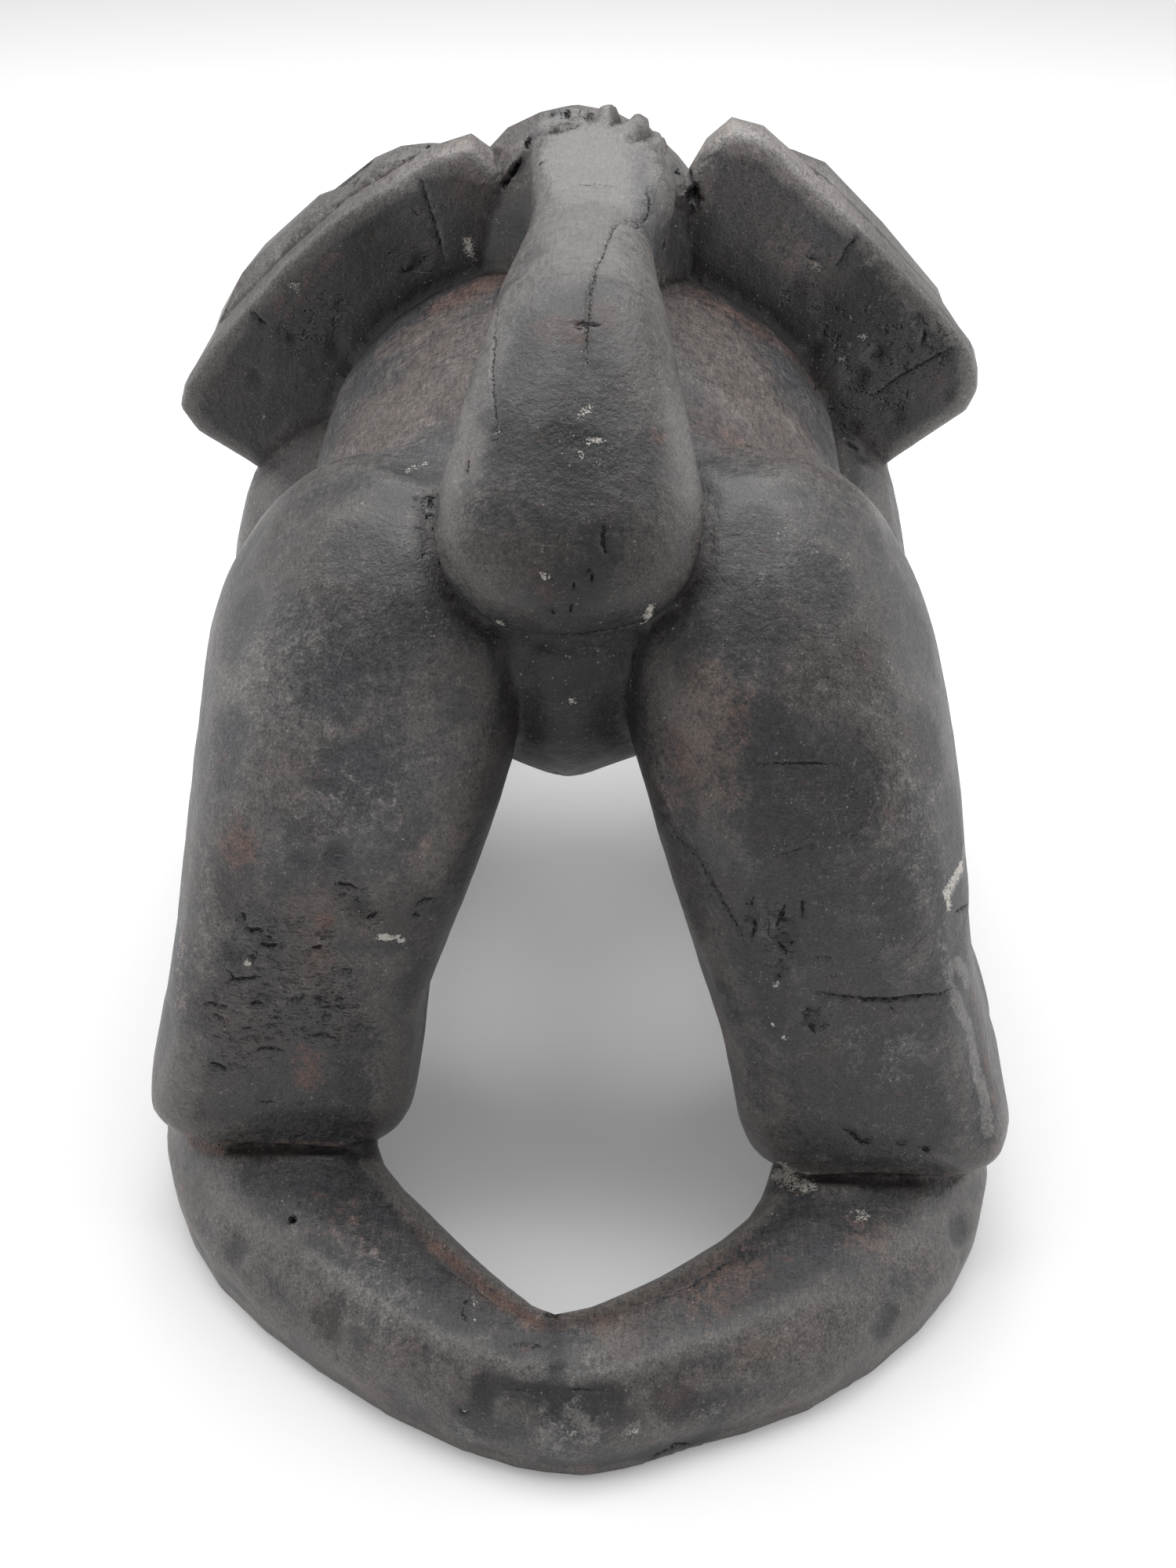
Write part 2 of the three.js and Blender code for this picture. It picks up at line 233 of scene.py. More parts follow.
EVEN_PASSES = 30
SADDLES = ((548, 573), (904, 570))  # pixels where the barrel meets the haunches beside the tail
SADDLE_REACH = (12 * MM, 34 * MM)
SADDLE_PASSES = 40
skin = Skin(even_skin(BROAD_SKIN))
hard = np.minimum(skin.distance(ridges.tree), skin.distance(valleys.tree))
loose = soft_step(HARD_REACH, SOFT_REACH, hard)
skin.smooth(loose, EVEN_PASSES)
skin.relax(0.25 * loose, 1)
saddles = tree_of([seen_on(solid_surface, *pixel) for pixel in SADDLES])
near_saddle = 1 - soft_step(*SADDLE_REACH, skin.distance(saddles))
skin.relax(0.5 * loose * near_saddle, SADDLE_PASSES)

# The adze leaves shallow flats. Each is a patch round a seed, pressed towards the seed's plane.
FLAT_SPACING = 30 * MM
FLAT_DEPTH = 1.2 * MM
FLAT_SHARE = 0.65  # of the way to the plane
FLAT_LOOSE = 0.6  # a seed lies where the skin is at least this loose
FLATS_NEAR = 4  # this many seeds pull at a vertex
FLAT_POWER = 6  # the higher, the narrower the change from one flat to the next
FLAT_CORE = 2 * MM
SWAYS = [(45 * MM, 0.5 * MM, 3.1), (16 * MM, 0.25 * MM, 9.4)]  # length, height and start of slow waves
chance = np.random.default_rng(7)
normals = skin.normals()
seeds = []
taken = np.zeros(len(skin.place), bool)
all_places = tree_of(list(skin.place))
for index in chance.permutation(len(skin.place)):
    if taken[index] or loose[index, 0] < FLAT_LOOSE:
        continue
    seeds.append(index)
    for _, near, _ in all_places.find_range(skin.place[index], FLAT_SPACING):
        taken[near] = True
flats = tree_of([skin.place[index] for index in seeds])
press = np.zeros_like(loose)
for index, place in enumerate(skin.place):
    total = weight_sum = 0.0
    for centre, seed, away in flats.find_n(place, FLATS_NEAR):
        facing = normals[seeds[seed]]
        agree = max(0.0, float(normals[index] @ facing))
        weight = agree**FLAT_POWER / (away + FLAT_CORE) ** FLAT_POWER
        total += weight * float((np.array(centre) - place) @ facing)
        weight_sum += weight
    press[index] = total / weight_sum if weight_sum > 0 else 0.0
press = np.clip(press, -FLAT_DEPTH, FLAT_DEPTH)
sway = sum(height * skin.noise(length, seed) for length, height, seed in SWAYS)
skin.place += normals * loose * (FLAT_SHARE * press + sway)
skin.store()

# The tuft's strands of hair, pulled out past its rim, and the notches between them, pulled in:
# from one pixel to another, how far each side the pull reaches and the pull to the right and up, in
# millimetres.
PULLS = [
    ((735, 146), (746, 144), 7.0, 0.0, 0.8),
    ((772, 148), (782, 146), 6.5, 0.4, 3.4),
    ((808, 160), (820, 164), 6.5, 1.6, 3.2),
    ((826, 182), (838, 198), 7.0, 3.8, 2.6),
    ((758, 128), (757, 150), 1.9, 0.2, -3.0),
    ((806, 136), (797, 154), 2.2, -1.0, -4.6),
    ((840, 154), (829, 172), 2.2, -1.8, -3.0),
    ((703, 136), (702, 160), 1.5, 0.4, -1.6),
    ((664, 166), (672, 186), 1.6, 1.2, -2.0),
]
PULL_DEPTH = (9 * MM, 15 * MM)  # in front of and behind the rim, held fully and not at all
STRAND_ROOT = np.array((10 * MM, 102 * MM, 362 * MM))  # in the middle of the rim

# Scoops that the adze and knocks have left: the pixel of each, its reach and its depth in
# millimetres.
SCOOPS = [
    ((1168, 405), 6, 1.6), ((1117, 451), 6, 2.0), ((1094, 482), 8, 2.4), ((1036, 447), 6, 1.6),
    ((1006, 371), 8, 1.6), ((1143, 531), 4.5, 1.6), ((1101, 578), 5, 1.6), ((1204, 503), 5, 1.2),
    ((1086, 547), 5, 1.6), ((1055, 394), 6, 1.2), ((373, 431), 4, 2.2), ((537, 335), 5, 1.6),
    ((430, 440), 8, 1.2), ((330, 480), 7, 1.0), ((478, 298), 4, 1.2), ((430, 1088), 7, 1.6),
    ((387, 1092), 5, 1.0), ((456, 1155), 7, 2.0), ((300, 1215), 7, 1.6), ((340, 1265), 9, 1.8),
    ((420, 1262), 7, 1.4), ((1000, 1190), 6, 2.4), ((996, 1240), 5, 2.0), ((1035, 1300), 5, 2.0),
    ((958, 1165), 4, 1.6), ((640, 808), 6, 2.0), ((690, 818), 5, 1.6), ((820, 800), 5, 1.6),
    ((700, 1780), 12, 1.6), ((620, 1775), 10, 1.2), ((860, 1790), 10, 1.4), ((1225, 1580), 12, 1.6),
    ((1130, 1690), 12, 1.4), ((420, 1680), 12, 1.4), ((300, 1590), 10, 1.4),
]


def in_photo(place):
    """A place's distance to the right, up and behind of the camera."""
    return (place - np.array(EYE)) @ np.array(camera_turn)


def pull_strands(skin):
    """Moves the tuft's rim in the plane of the photograph."""
    far = in_photo(STRAND_ROOT)[2]
    for start, end, reach, right, up in PULLS:
        first = np.array(slope(*start)) * -far
        run = np.array(slope(*end)) * -far - first
        across = in_photo(skin.place)
        share = np.clip(((across[:, :2] - first) @ run) / (run @ run), 0, 1)
        away = np.linalg.norm(across[:, :2] - first - share[:, None] * run, axis=1)
        hold = np.clip(1 - (away / (reach * MM)) ** 2, 0, 1) ** 2
        hold *= 1 - soft_step(*PULL_DEPTH, np.abs(across[:, 2] - far))
        skin.place += (hold[:, None] * np.array((right, up, 0))) @ np.array(camera_turn).T * MM


pull_strands(skin)
skin.store()

# The broad skin, which the pixels of all cuts and marks are cast onto.
surface = BVHTree.FromPolygons(
    [Vector(place) for place in skin.place], [tuple(face.vertices) for face in skin.mesh.polygons]
)

# Drying checks, knife cuts and slits, and three lines of painted shadow under the tail root and in
# the creases beside it: their course over the photograph in pixels, and in millimetres how wide they
# gape and how deep they go.
CUTS_AND_SHADOW_LINES = {
    "tail": [
        (
            [(796, 279), (783, 290), (773, 316), (760, 343), (755, 366), (751, 400), (750, 422),
             (749, 479)],
            0.9, 1.6,
        ),
        ([(731, 414), (750, 413), (768, 415)], 1.1, 1.2), ([(735, 419), (749, 417)], 0.8, 0.8),
        ([(641, 369), (632, 407), (630, 441), (628, 479), (633, 537), (634, 556), (639, 593)], 0.7, 0.9),
        ([(770, 668), (769, 690), (775, 710)], 1.3, 2.0),
        ([(796, 286), (802, 282), (821, 284), (830, 271), (826, 233)], 0.9, 1.2),
        ([(801, 287), (812, 290), (823, 288)], 0.6, 0.8), ([(685, 212), (699, 200)], 0.8, 0.9),
        ([(700, 172), (722, 165), (746, 159)], 0.7, 0.8), ([(737, 236), (762, 234), (785, 238)], 0.5, 0.5),
        ([(690, 158), (708, 160), (722, 155)], 0.7, 0.7), ([(751, 722), (749, 733)], 0.9, 1.2),
        ([(757, 731), (754, 744)], 0.9, 1.2), ([(732, 744), (730, 752)], 1.3, 1.2),
        ([(728, 772), (727, 784)], 1.0, 1.2), ([(704, 779), (709, 783)], 1.2, 1.2),
        ([(598, 578), (596, 606)], 0.8, 0.7),
        # A line of painted shadow under the tail root's lower edge, sunk a little.
        (
            [(575, 745), (600, 776), (640, 801), (690, 811), (745, 809), (800, 800), (850, 783),
             (878, 755)],
            1.7, 1.6,
        ),
        # Painted shadow in the creases between the tail root and the haunches, sunk as grooves.
        ([(552, 632), (549, 668), (556, 704), (566, 745)], 3.6, 3.6),
        ([(903, 655), (896, 690), (888, 722)], 2.4, 2.6),
    ],
    "tuft": [
        ([(664, 203), (650, 222), (637, 244)], 3.4, 5.0), ([(672, 172), (672, 190)], 3.4, 5.0),
        ([(703, 140), (702, 164)], 2.0, 4.0), ([(723, 140), (724, 152)], 2.6, 2.5),
        ([(757, 134), (753, 151)], 3.4, 3.0), ([(790, 140), (798, 154)], 3.0, 1.6),
        ([(829, 164), (830, 173)], 2.4, 1.0), ([(866, 212), (874, 228), (882, 246), (891, 264)], 6.5, 8.0),
    ],
    "left ear": [
        ([(537, 224), (547, 263), (560, 304), (568, 338)], 0.8, 1.2), ([(317, 393), (343, 418)], 1.0, 1.2),
        ([(545, 176), (549, 194)], 2.0, 2.0), ([(512, 342), (516, 348), (524, 343), (547, 336)], 1.4, 1.2),
        ([(475, 293), (477, 301), (484, 303)], 1.2, 1.2), ([(528, 271), (534, 276)], 1.0, 1.0),
    ],
    "right ear": [
        ([(1097, 295), (1083, 314), (1073, 329), (1064, 342)], 0.8, 1.2),
        ([(1221, 442), (1198, 452), (1167, 469), (1146, 481), (1109, 509)], 0.9, 1.0),
        ([(894, 208), (920, 193)], 0.8, 0.8), ([(1040, 500), (1046, 470)], 1.2, 1.2),
        ([(1180, 420), (1176, 445)], 1.6, 1.4), ([(1029, 327), (1041, 333)], 0.8, 0.8),
        ([(1078, 562), (1090, 570), (1104, 582)], 1.8, 1.6),
    ],
    "left leg": [
        ([(414, 1092), (420, 1083), (432, 1080), (440, 1088), (436, 1098)], 1.4, 1.6),
        ([(378, 1094), (386, 1088), (396, 1094)], 1.0, 1.2),
        ([(426, 1129), (436, 1127), (450, 1131), (464, 1138)], 1.0, 1.4),
        ([(432, 1143), (444, 1138)], 0.8, 1.0), ([(467, 1171), (475, 1168), (483, 1165)], 1.9, 1.8),
        ([(309, 1164), (312, 1176)], 1.0, 1.0),
        ([(310, 1184), (322, 1187), (330, 1186), (338, 1191)], 1.2, 1.6),
        ([(330, 1203), (343, 1206), (357, 1205)], 1.2, 1.6), ([(338, 1194), (349, 1199)], 0.9, 1.2),
        ([(305, 1224), (315, 1220), (326, 1218)], 1.0, 1.2), ([(327, 1214), (322, 1230)], 0.9, 1.2),
        ([(288, 1252), (305, 1249), (319, 1249), (330, 1247), (343, 1250), (357, 1251)], 1.3, 1.8),
        ([(293, 1240), (299, 1252)], 0.8, 1.0), ([(399, 1210), (411, 1207)], 1.2, 1.4),
        ([(437, 1237), (453, 1239)], 0.9, 1.0), ([(322, 1281), (331, 1280), (338, 1283)], 1.7, 1.8),
        ([(372, 1275), (390, 1273)], 0.8, 0.9), ([(399, 1274), (420, 1272), (440, 1275)], 1.5, 2.0),
        ([(402, 1279), (425, 1277)], 0.8, 1.0), ([(407, 1285), (445, 1285)], 0.9, 1.2),
        ([(345, 1299), (362, 1297)], 0.9, 1.0), ([(261, 1279), (276, 1281), (292, 1286)], 1.0, 1.2),
        ([(271, 1291), (286, 1302)], 0.9, 1.0), ([(308, 1313), (322, 1311)], 0.9, 1.0),
        ([(391, 1323), (412, 1320), (430, 1325)], 1.0, 1.2),
        ([(326, 1339), (346, 1337), (365, 1342)], 1.0, 1.2),
        ([(269, 1357), (280, 1359), (292, 1366)], 1.4, 1.4), ([(328, 1406), (353, 1406)], 0.9, 0.9),
        ([(380, 1408), (389, 1409)], 1.0, 0.9), ([(531, 1156), (541, 1149), (560, 1146)], 1.3, 1.4),
        ([(528, 1168), (538, 1168)], 1.3, 1.4),
    ],
    "right leg": [
        (
            [(1034, 1265), (1068, 1270), (1105, 1275), (1139, 1275), (1164, 1271), (1197, 1269),
             (1218, 1259)],
            0.9, 1.8,
        ),
        ([(843, 1035), (862, 1067), (891, 1098), (922, 1151), (945, 1190), (956, 1220)], 0.7, 1.2),
        ([(961, 1140), (957, 1165), (963, 1182), (957, 1203)], 1.5, 1.6),
        ([(952, 1150), (955, 1166)], 0.9, 1.0),
        ([(1003, 1153), (997, 1169), (991, 1190), (997, 1207), (1007, 1220)], 1.7, 2.4),
        ([(1004, 1176), (1009, 1207)], 1.7, 2.0), ([(999, 1186), (1003, 1196)], 1.0, 1.4),
        ([(997, 1227), (996, 1240), (992, 1251)], 1.8, 2.4), ([(1023, 1149), (1024, 1170)], 1.2, 1.6),
        ([(1029, 1285), (1032, 1299), (1040, 1320)], 2.0, 1.8), ([(1036, 1290), (1046, 1300)], 1.0, 1.0),
        ([(1136, 1281), (1139, 1291)], 0.8, 0.6), ([(1036, 1220), (1067, 1222)], 0.5, 0.4),
        ([(1056, 1244), (1071, 1244)], 0.5, 0.4), ([(989, 1092), (1020, 1083), (1048, 1071)], 0.5, 0.4),
        ([(964, 975), (1020, 973), (1078, 976)], 1.0, 0.8),
        ([(1074, 1439), (1087, 1447), (1097, 1457), (1116, 1458)], 1.2, 1.6),
        ([(1139, 1459), (1150, 1456), (1160, 1459)], 0.8, 1.0), ([(1143, 1462), (1156, 1463)], 0.7, 0.8),
        ([(1181, 1466), (1184, 1469)], 2.2, 1.8), ([(1218, 1165), (1239, 1151)], 0.9, 1.0),
    ],
    "ring": [
        ([(602, 1652), (590, 1664), (590, 1678), (599, 1690)], 0.7, 0.6),
        ([(632, 1770), (665, 1775), (700, 1774), (740, 1772), (785, 1775)], 0.7, 0.8),
        ([(560, 1612), (600, 1640), (640, 1668)], 0.5, 0.5),
        ([(820, 1668), (880, 1640), (960, 1590)], 0.5, 0.5),
        ([(648, 1714), (670, 1716), (696, 1716)], 0.8, 0.7),
        ([(823, 1864), (861, 1843), (909, 1836)], 1.2, 1.4),
        ([(583, 1796), (591, 1804), (601, 1800)], 0.9, 0.6), ([(371, 1555), (377, 1557)], 3.0, 5.0),
    ],
}


TRAIL_STEP = 2  # pixels
WANDER = 1.6  # pixels
WANDER_RATE = 0.18  # waves of the wander to a pixel


def wander(u, v, seed):
    return WANDER * noise.noise(Vector((u * WANDER_RATE, v * WANDER_RATE, seed)))


def trail(points):
    """Places on the wood under a course of pixels, about 0.6 mm apart, that wander a little."""
    places = []
    for (u0, v0), (u1, v1) in zip(points, points[1:]):
        steps = max(1, round(math.hypot(u1 - u0, v1 - v0) / TRAIL_STEP))
        for step in range(steps):
            share = step / steps
            u = u0 + (u1 - u0) * share
            v = v0 + (v1 - v0) * share
            hit = seen_on(surface, u + wander(u, v, 0.5), v + wander(u, v, 8.5))
            if hit:
                places.append(hit)
    return places


CUT_SHARE = 0.75  # of the gape seen in the photograph, the rest being the shade at its lips


class Trails:
    """Every cut as a row of places, with its direction, gape and depth at each."""

    TAPER = 4  # it narrows over a quarter of its length at either end
    TAPER_POWER = 0.6
    UNEVEN = 0.35
    UNEVEN_RATE = 220  # waves to a metre

    def __init__(self):
        self.places = []
        self.along = []
        self.gape = []
        self.depth = []
        self.is_end = []

    def add(self, points, gape, depth):
        course = trail(points)
        last = len(course) - 1
        for step, place in enumerate(course):
            share = (step + 0.5) / len(course)
            taper = min(1.0, self.TAPER * share, self.TAPER * (1 - share)) ** self.TAPER_POWER
            uneven = 1 + self.UNEVEN * noise.noise(place * self.UNEVEN_RATE)
            ahead = course[min(step + 1, last)] - course[max(step - 1, 0)]
            self.places.append(place)
            self.along.append(ahead.normalized())
            self.gape.append(CUT_SHARE * gape / 2 * MM * taper * uneven)
            self.depth.append(depth * MM * taper)
            self.is_end.append(step in (0, last))


cuts = Trails()
for courses in CUTS_AND_SHADOW_LINES.values():
    for points, gape, depth in courses:
        cuts.add(points, gape, depth)
cut_tree = tree_of(cuts.places)

# Marks on the wood: their course in the photograph's pixels, their reach in millimetres to either
# side and how strong they are. Rust is bare reddish wood, chalk is crumbs of white dust, ash a grey
# film that is also painted light on the legs' outer sides and other places that face the light, soot
# the blackest stain and also painted shade in the groin, the recesses and under the tail, loam brown
# dust, polish the stain worn pale by handling and also a painted sheen on the tops that face the
# light, scuffed is crossed by pale scratches, and pitted is hacked end grain with short checks. Two
# kinds are painted shade and painted light alone: they darken the wood where shade falls, under the
# tail, in the groin, the recesses and the creases, and lighten it where light falls, on the ears'
# tops, a thigh and the haunches.
MARKS = {
    "rust": [
        ([(700, 418), (735, 422)], 7, 1.0), ([(760, 392), (785, 415)], 6, 0.7), ([(303, 1074)], 11, 0.8),
        ([(416, 1174)], 4, 1.1), ([(393, 1346), (393, 1377)], 7, 0.8), ([(410, 1229)], 7, 0.6),
        ([(225, 1442), (263, 1463), (300, 1460)], 3.5, 1.1), ([(300, 1460), (430, 1462)], 2.5, 0.9),
        ([(890, 905), (880, 985)], 20, 0.7), ([(560, 1080), (590, 1050)], 9, 0.5),
        ([(920, 1300), (930, 1340)], 9, 0.6), ([(900, 380), (1000, 440), (1050, 500)], 12, 0.6),
        ([(640, 350), (560, 390)], 12, 0.7), ([(1240, 1260), (1270, 1400)], 5, 0.5),
        ([(944, 1616), (910, 1660)], 15, 0.55), ([(1112, 1582)], 14, 0.6), ([(960, 1720)], 9, 0.7),
        ([(770, 1690)], 8, 0.5), ([(628, 1745)], 9, 0.5), ([(849, 1780)], 3.5, 1.2),
        ([(745, 1872), (775, 1880)], 3, 0.9), ([(560, 1588), (640, 1655), (690, 1690)], 4.5, 0.8),
        ([(1060, 1780), (1000, 1800)], 9, 0.5), ([(1180, 1600)], 10, 0.5),
        ([(848, 1781), (900, 1760)], 8, 0.45), ([(517, 1720)], 10, 0.5), ([(480, 1780)], 14, 0.5),
        ([(555, 160), (600, 180)], 6, 0.5), ([(925, 165)], 6, 0.5), ([(935, 560)], 9, 0.5),
        ([(755, 170)], 8, 0.4), ([(1270, 1465)], 3, 1.0), ([(240, 1000), (230, 1300)], 5, 0.4),
        ([(598, 592)], 4, 0.8), ([(840, 556)], 4, 0.7), ([(850, 470)], 6, 0.5),
        ([(660, 720), (700, 760)], 12, 0.5), ([(225, 1500), (240, 1560)], 6, 0.6),
        ([(420, 340), (340, 400)], 9, 0.4), ([(430, 1560), (470, 1600)], 12, 0.4), ([(1190, 500)], 12, 0.5),
    ],
    "chalk": [
        ([(597, 310), (600, 326)], 3.2, 1.0), ([(366, 364), (380, 368)], 3.0, 0.8),
        ([(439, 476)], 1.6, 1.0), ([(890, 350), (894, 352)], 1.8, 1.8), ([(1084, 406)], 1.0, 1.2),
        ([(1100, 430)], 2.0, 1.1), ([(1074, 457)], 2.0, 1.0), ([(487, 1194), (496, 1196)], 1.7, 1.6),
        ([(504, 1197), (516, 1199)], 1.4, 1.3), ([(315, 1228)], 1.8, 1.2), ([(514, 1072)], 1.6, 0.9),
        ([(741, 529), (756, 518)], 1.6, 0.9), ([(749, 562), (772, 562)], 1.2, 1.0),
        ([(741, 580)], 2.0, 1.0), ([(764, 592)], 2.0, 0.8), ([(694, 733)], 2.2, 1.0),
        ([(637, 795)], 2.6, 1.0), ([(829, 777), (821, 801)], 2.4, 1.1), ([(730, 894)], 2.0, 1.0),
        ([(988, 1492), (1010, 1500), (1030, 1510)], 5.5, 1.15), ([(1000, 1486)], 3.5, 1.0),
        ([(1226, 1106), (1216, 1124), (1207, 1138), (1212, 1158)], 2.8, 1.15), ([(925, 1266)], 1.4, 1.0),
        ([(934, 1295)], 1.8, 0.9), ([(984, 1307)], 1.4, 1.1), ([(1001, 1324)], 2.0, 1.0),
        ([(990, 1255)], 2.0, 1.1), ([(370, 1555)], 1.0, 1.2), ([(593, 1800)], 1.6, 0.8),
        ([(710, 1822), (737, 1826)], 3.0, 0.6), ([(808, 1826)], 3.0, 0.8), ([(1099, 1550)], 4.0, 0.85),
        ([(604, 1654), (606, 1684)], 1.1, 0.75), ([(520, 600), (545, 590)], 2.0, 0.8),
        ([(230, 1180), (228, 1240)], 3.0, 0.6), ([(332, 533)], 1.6, 0.9), ([(634, 552)], 1.0, 1.0),
        ([(1040, 340)], 3.0, 0.7),
    ],
    # A grey film, and painted light on the legs' outer sides and other places that face the light.
    "ash_and_light": [
        ([(1231, 1078), (1229, 1103), (1218, 1126), (1209, 1140)], 2.6, 1.5),
        ([(1206, 1178), (1204, 1220), (1212, 1262)], 4.0, 0.5),
        ([(1220, 1228), (1232, 1240), (1233, 1256)], 2.6, 1.4), ([(1212, 1232), (1213, 1262)], 2.6, 1.2),
        ([(1220, 1274), (1236, 1311), (1244, 1357), (1256, 1399), (1261, 1447)], 3.0, 1.6),
        ([(1120, 985), (1190, 1010)], 8, 0.4), ([(1150, 1040), (1190, 1120)], 12, 0.3),
        ([(1110, 1330), (1140, 1350)], 14, 0.45), ([(236, 1205), (230, 1300)], 4, 0.55),
        ([(262, 1090), (256, 1230)], 6, 0.4), ([(420, 1040), (470, 1010)], 14, 0.28),
        ([(345, 820), (420, 760)], 20, 0.25), ([(480, 1652), (440, 1610)], 14, 0.5),
        ([(707, 1835)], 8, 1.0), ([(730, 1800), (760, 1830)], 4, 0.9), ([(808, 1822)], 4, 1.0),
        ([(590, 1826)], 5, 0.8), ([(764, 1736)], 6, 0.7), ([(693, 1795)], 3, 0.9), ([(910, 1800)], 5, 0.6),
        ([(560, 1700)], 6, 0.6), ([(1110, 330), (1180, 430)], 5, 0.5), ([(600, 640)], 10, 0.5),
    ],
    # Stain worn pale by handling, and painted sheen on the tops that face the light.
    "polish_and_sheen": [
        ([(755, 185), (752, 250), (748, 300), (746, 340)], 19, 1.1),
        ([(692, 160), (712, 149), (740, 142), (768, 140)], 4.5, 0.9),
        ([(700, 200), (700, 300), (690, 345)], 8, 0.8),
        ([(668, 360), (640, 400), (612, 500), (596, 600)], 8, 0.7),
        ([(812, 330), (838, 400), (862, 520), (876, 620)], 7, 0.6), ([(1000, 610), (1090, 640)], 16, 0.3),
        ([(520, 560), (440, 600)], 12, 0.35), ([(620, 690), (640, 740)], 12, 0.35),
    ],
    # Blackest stain, and painted shade in the groin, the recesses beside the neck, under the tail and along
    # the ring's outer side.
    "soot_and_shade": [
        ([(549, 640), (548, 680), (556, 715), (566, 750)], 4.0, 1.3),
        ([(903, 650), (895, 690), (886, 730)], 3.5, 1.1), ([(866, 208), (880, 240), (892, 268)], 5, 1.2),
        ([(640, 250), (662, 290), (680, 330)], 7, 0.9), ([(735, 870), (735, 960)], 26, 1.0),
        ([(600, 850), (640, 930)], 12, 0.8), ([(850, 850), (830, 930)], 12, 0.8),
        ([(732, 560), (735, 640), (733, 715)], 9, 1.0), ([(700, 390), (700, 460)], 12, 0.5),
        ([(790, 450), (760, 500)], 16, 0.5), ([(436, 1683)], 11, 0.9),
        ([(612, 1785), (700, 1787), (790, 1782), (840, 1770)], 11, 0.95), ([(895, 1785)], 11, 0.8),
        ([(704, 1690), (709, 1740)], 4, 0.9), ([(1000, 1640), (940, 1690)], 12, 0.6),
        ([(560, 1640), (590, 1720)], 13, 0.6), ([(330, 1600), (400, 1660)], 12, 0.5),
        ([(1180, 1680), (1100, 1740)], 12, 0.6), ([(1061, 1640), (1112, 1630)], 9, 0.6),
        ([(751, 1802)], 10, 0.6), ([(373, 431)], 4, 1.2), ([(430, 1086)], 4, 1.3), ([(460, 1155)], 4, 1.3),
        ([(600, 300), (640, 270)], 14, 0.8), ([(880, 290), (880, 330)], 14, 0.9),
        ([(1090, 420), (1150, 500)], 32, 0.9), ([(420, 470), (490, 400), (560, 350), (640, 310)], 12, 0.9),
        ([(500, 330), (440, 400), (380, 480)], 20, 0.5), ([(940, 340), (1030, 420), (1075, 540)], 13, 0.9),
        ([(596, 601)], 3, 0.6), ([(1060, 1000), (1090, 1020)], 10, 0.6),
        ([(1080, 560), (1100, 600)], 10, 0.7), ([(330, 590), (350, 620)], 9, 0.6), ([(617, 533)], 4, 0.8),
    ],
    "loam": [
        ([(551, 629), (548, 669), (557, 704), (566, 747)], 4, 1.2),
        ([(898, 647), (891, 690), (884, 726)], 4, 1.2), ([(500, 440), (560, 410), (630, 360)], 12, 0.8),
        ([(600, 430), (540, 500), (450, 560)], 34, 0.8), ([(900, 420), (950, 500), (1020, 580)], 34, 0.8),
        ([(430, 1726)], 9, 1.0), ([(484, 1484), (546, 1570), (612, 1638), (692, 1686)], 5.5, 1.3),
        ([(790, 1690), (792, 1750)], 9, 1.2), ([(760, 1735)], 6, 1.0),
        ([(1000, 1700), (1060, 1660)], 12, 0.7), ([(380, 1640), (430, 1690)], 9, 0.8),
        ([(706, 1688), (786, 1668), (908, 1606), (988, 1528)], 5, 1.2),
        ([(400, 1160), (400, 1250)], 12, 0.8), ([(460, 1180), (440, 1320)], 10, 0.5),
        ([(1000, 330), (1080, 380)], 14, 0.6), ([(540, 1120), (580, 1080)], 14, 0.6),
        ([(870, 900), (900, 1000)], 18, 0.6), ([(350, 650), (300, 700)], 6, 0.6),
        ([(300, 1440), (500, 1440)], 5, 0.5), ([(790, 1690), (900, 1660)], 14, 0.5),
        ([(560, 1720)], 12, 0.5), ([(1000, 1490), (1240, 1500)], 5, 0.6),
    ],
    # Painted shade: darker where shade falls under the tail, in the groin, the recesses and the creases.
    "painted_shade": [
        ([(745, 450), (745, 760)], 42, 1.15), ([(735, 800), (735, 940)], 34, 1.65),
        ([(440, 640), (420, 760)], 40, 0.75), ([(1030, 640), (1060, 760)], 40, 0.7),
        ([(1030, 1000), (1020, 1120)], 34, 0.5), ([(260, 1432), (500, 1432)], 7, 0.9),
        ([(990, 1450), (1240, 1480)], 7, 0.7), ([(640, 290), (665, 240)], 12, 1.3),
        ([(862, 230), (872, 330)], 12, 1.3), ([(900, 1000), (960, 1300)], 14, 0.6),
        ([(600, 1000), (540, 1250)], 14, 0.6),
        ([(630, 325), (559, 355), (480, 408), (420, 480), (390, 550)], 8, 1.2),
        ([(905, 350), (975, 395), (1040, 455), (1068, 550)], 8, 1.2),
        ([(575, 760), (640, 812), (735, 830), (830, 808), (890, 740)], 9, 1.2),
    ],
    # Painted light: lighter where light falls on the ears' tops, a thigh and the haunches.
    "painted_light": [
        ([(500, 560), (600, 560)], 20, 0.4), ([(870, 560), (960, 555)], 20, 0.4),
        ([(560, 230), (600, 280)], 26, 1.4), ([(920, 200), (1010, 290)], 30, 2.3),
        ([(1140, 480), (1200, 520)], 24, 1.6), ([(340, 900), (440, 1020)], 36, 0.85),
        ([(470, 560), (640, 420)], 24, 0.3), ([(1000, 560), (900, 420)], 24, 0.3),
    ],
    "pitted": [
        ([(310, 1190), (400, 1200)], 15, 0.9), ([(300, 1250), (420, 1250)], 15, 1.0),
        ([(290, 1300), (440, 1300)], 14, 1.0), ([(330, 1350), (280, 1360)], 9, 0.7),
        ([(440, 1130), (470, 1170)], 8, 0.7), ([(990, 1170), (1000, 1230)], 8, 0.8),
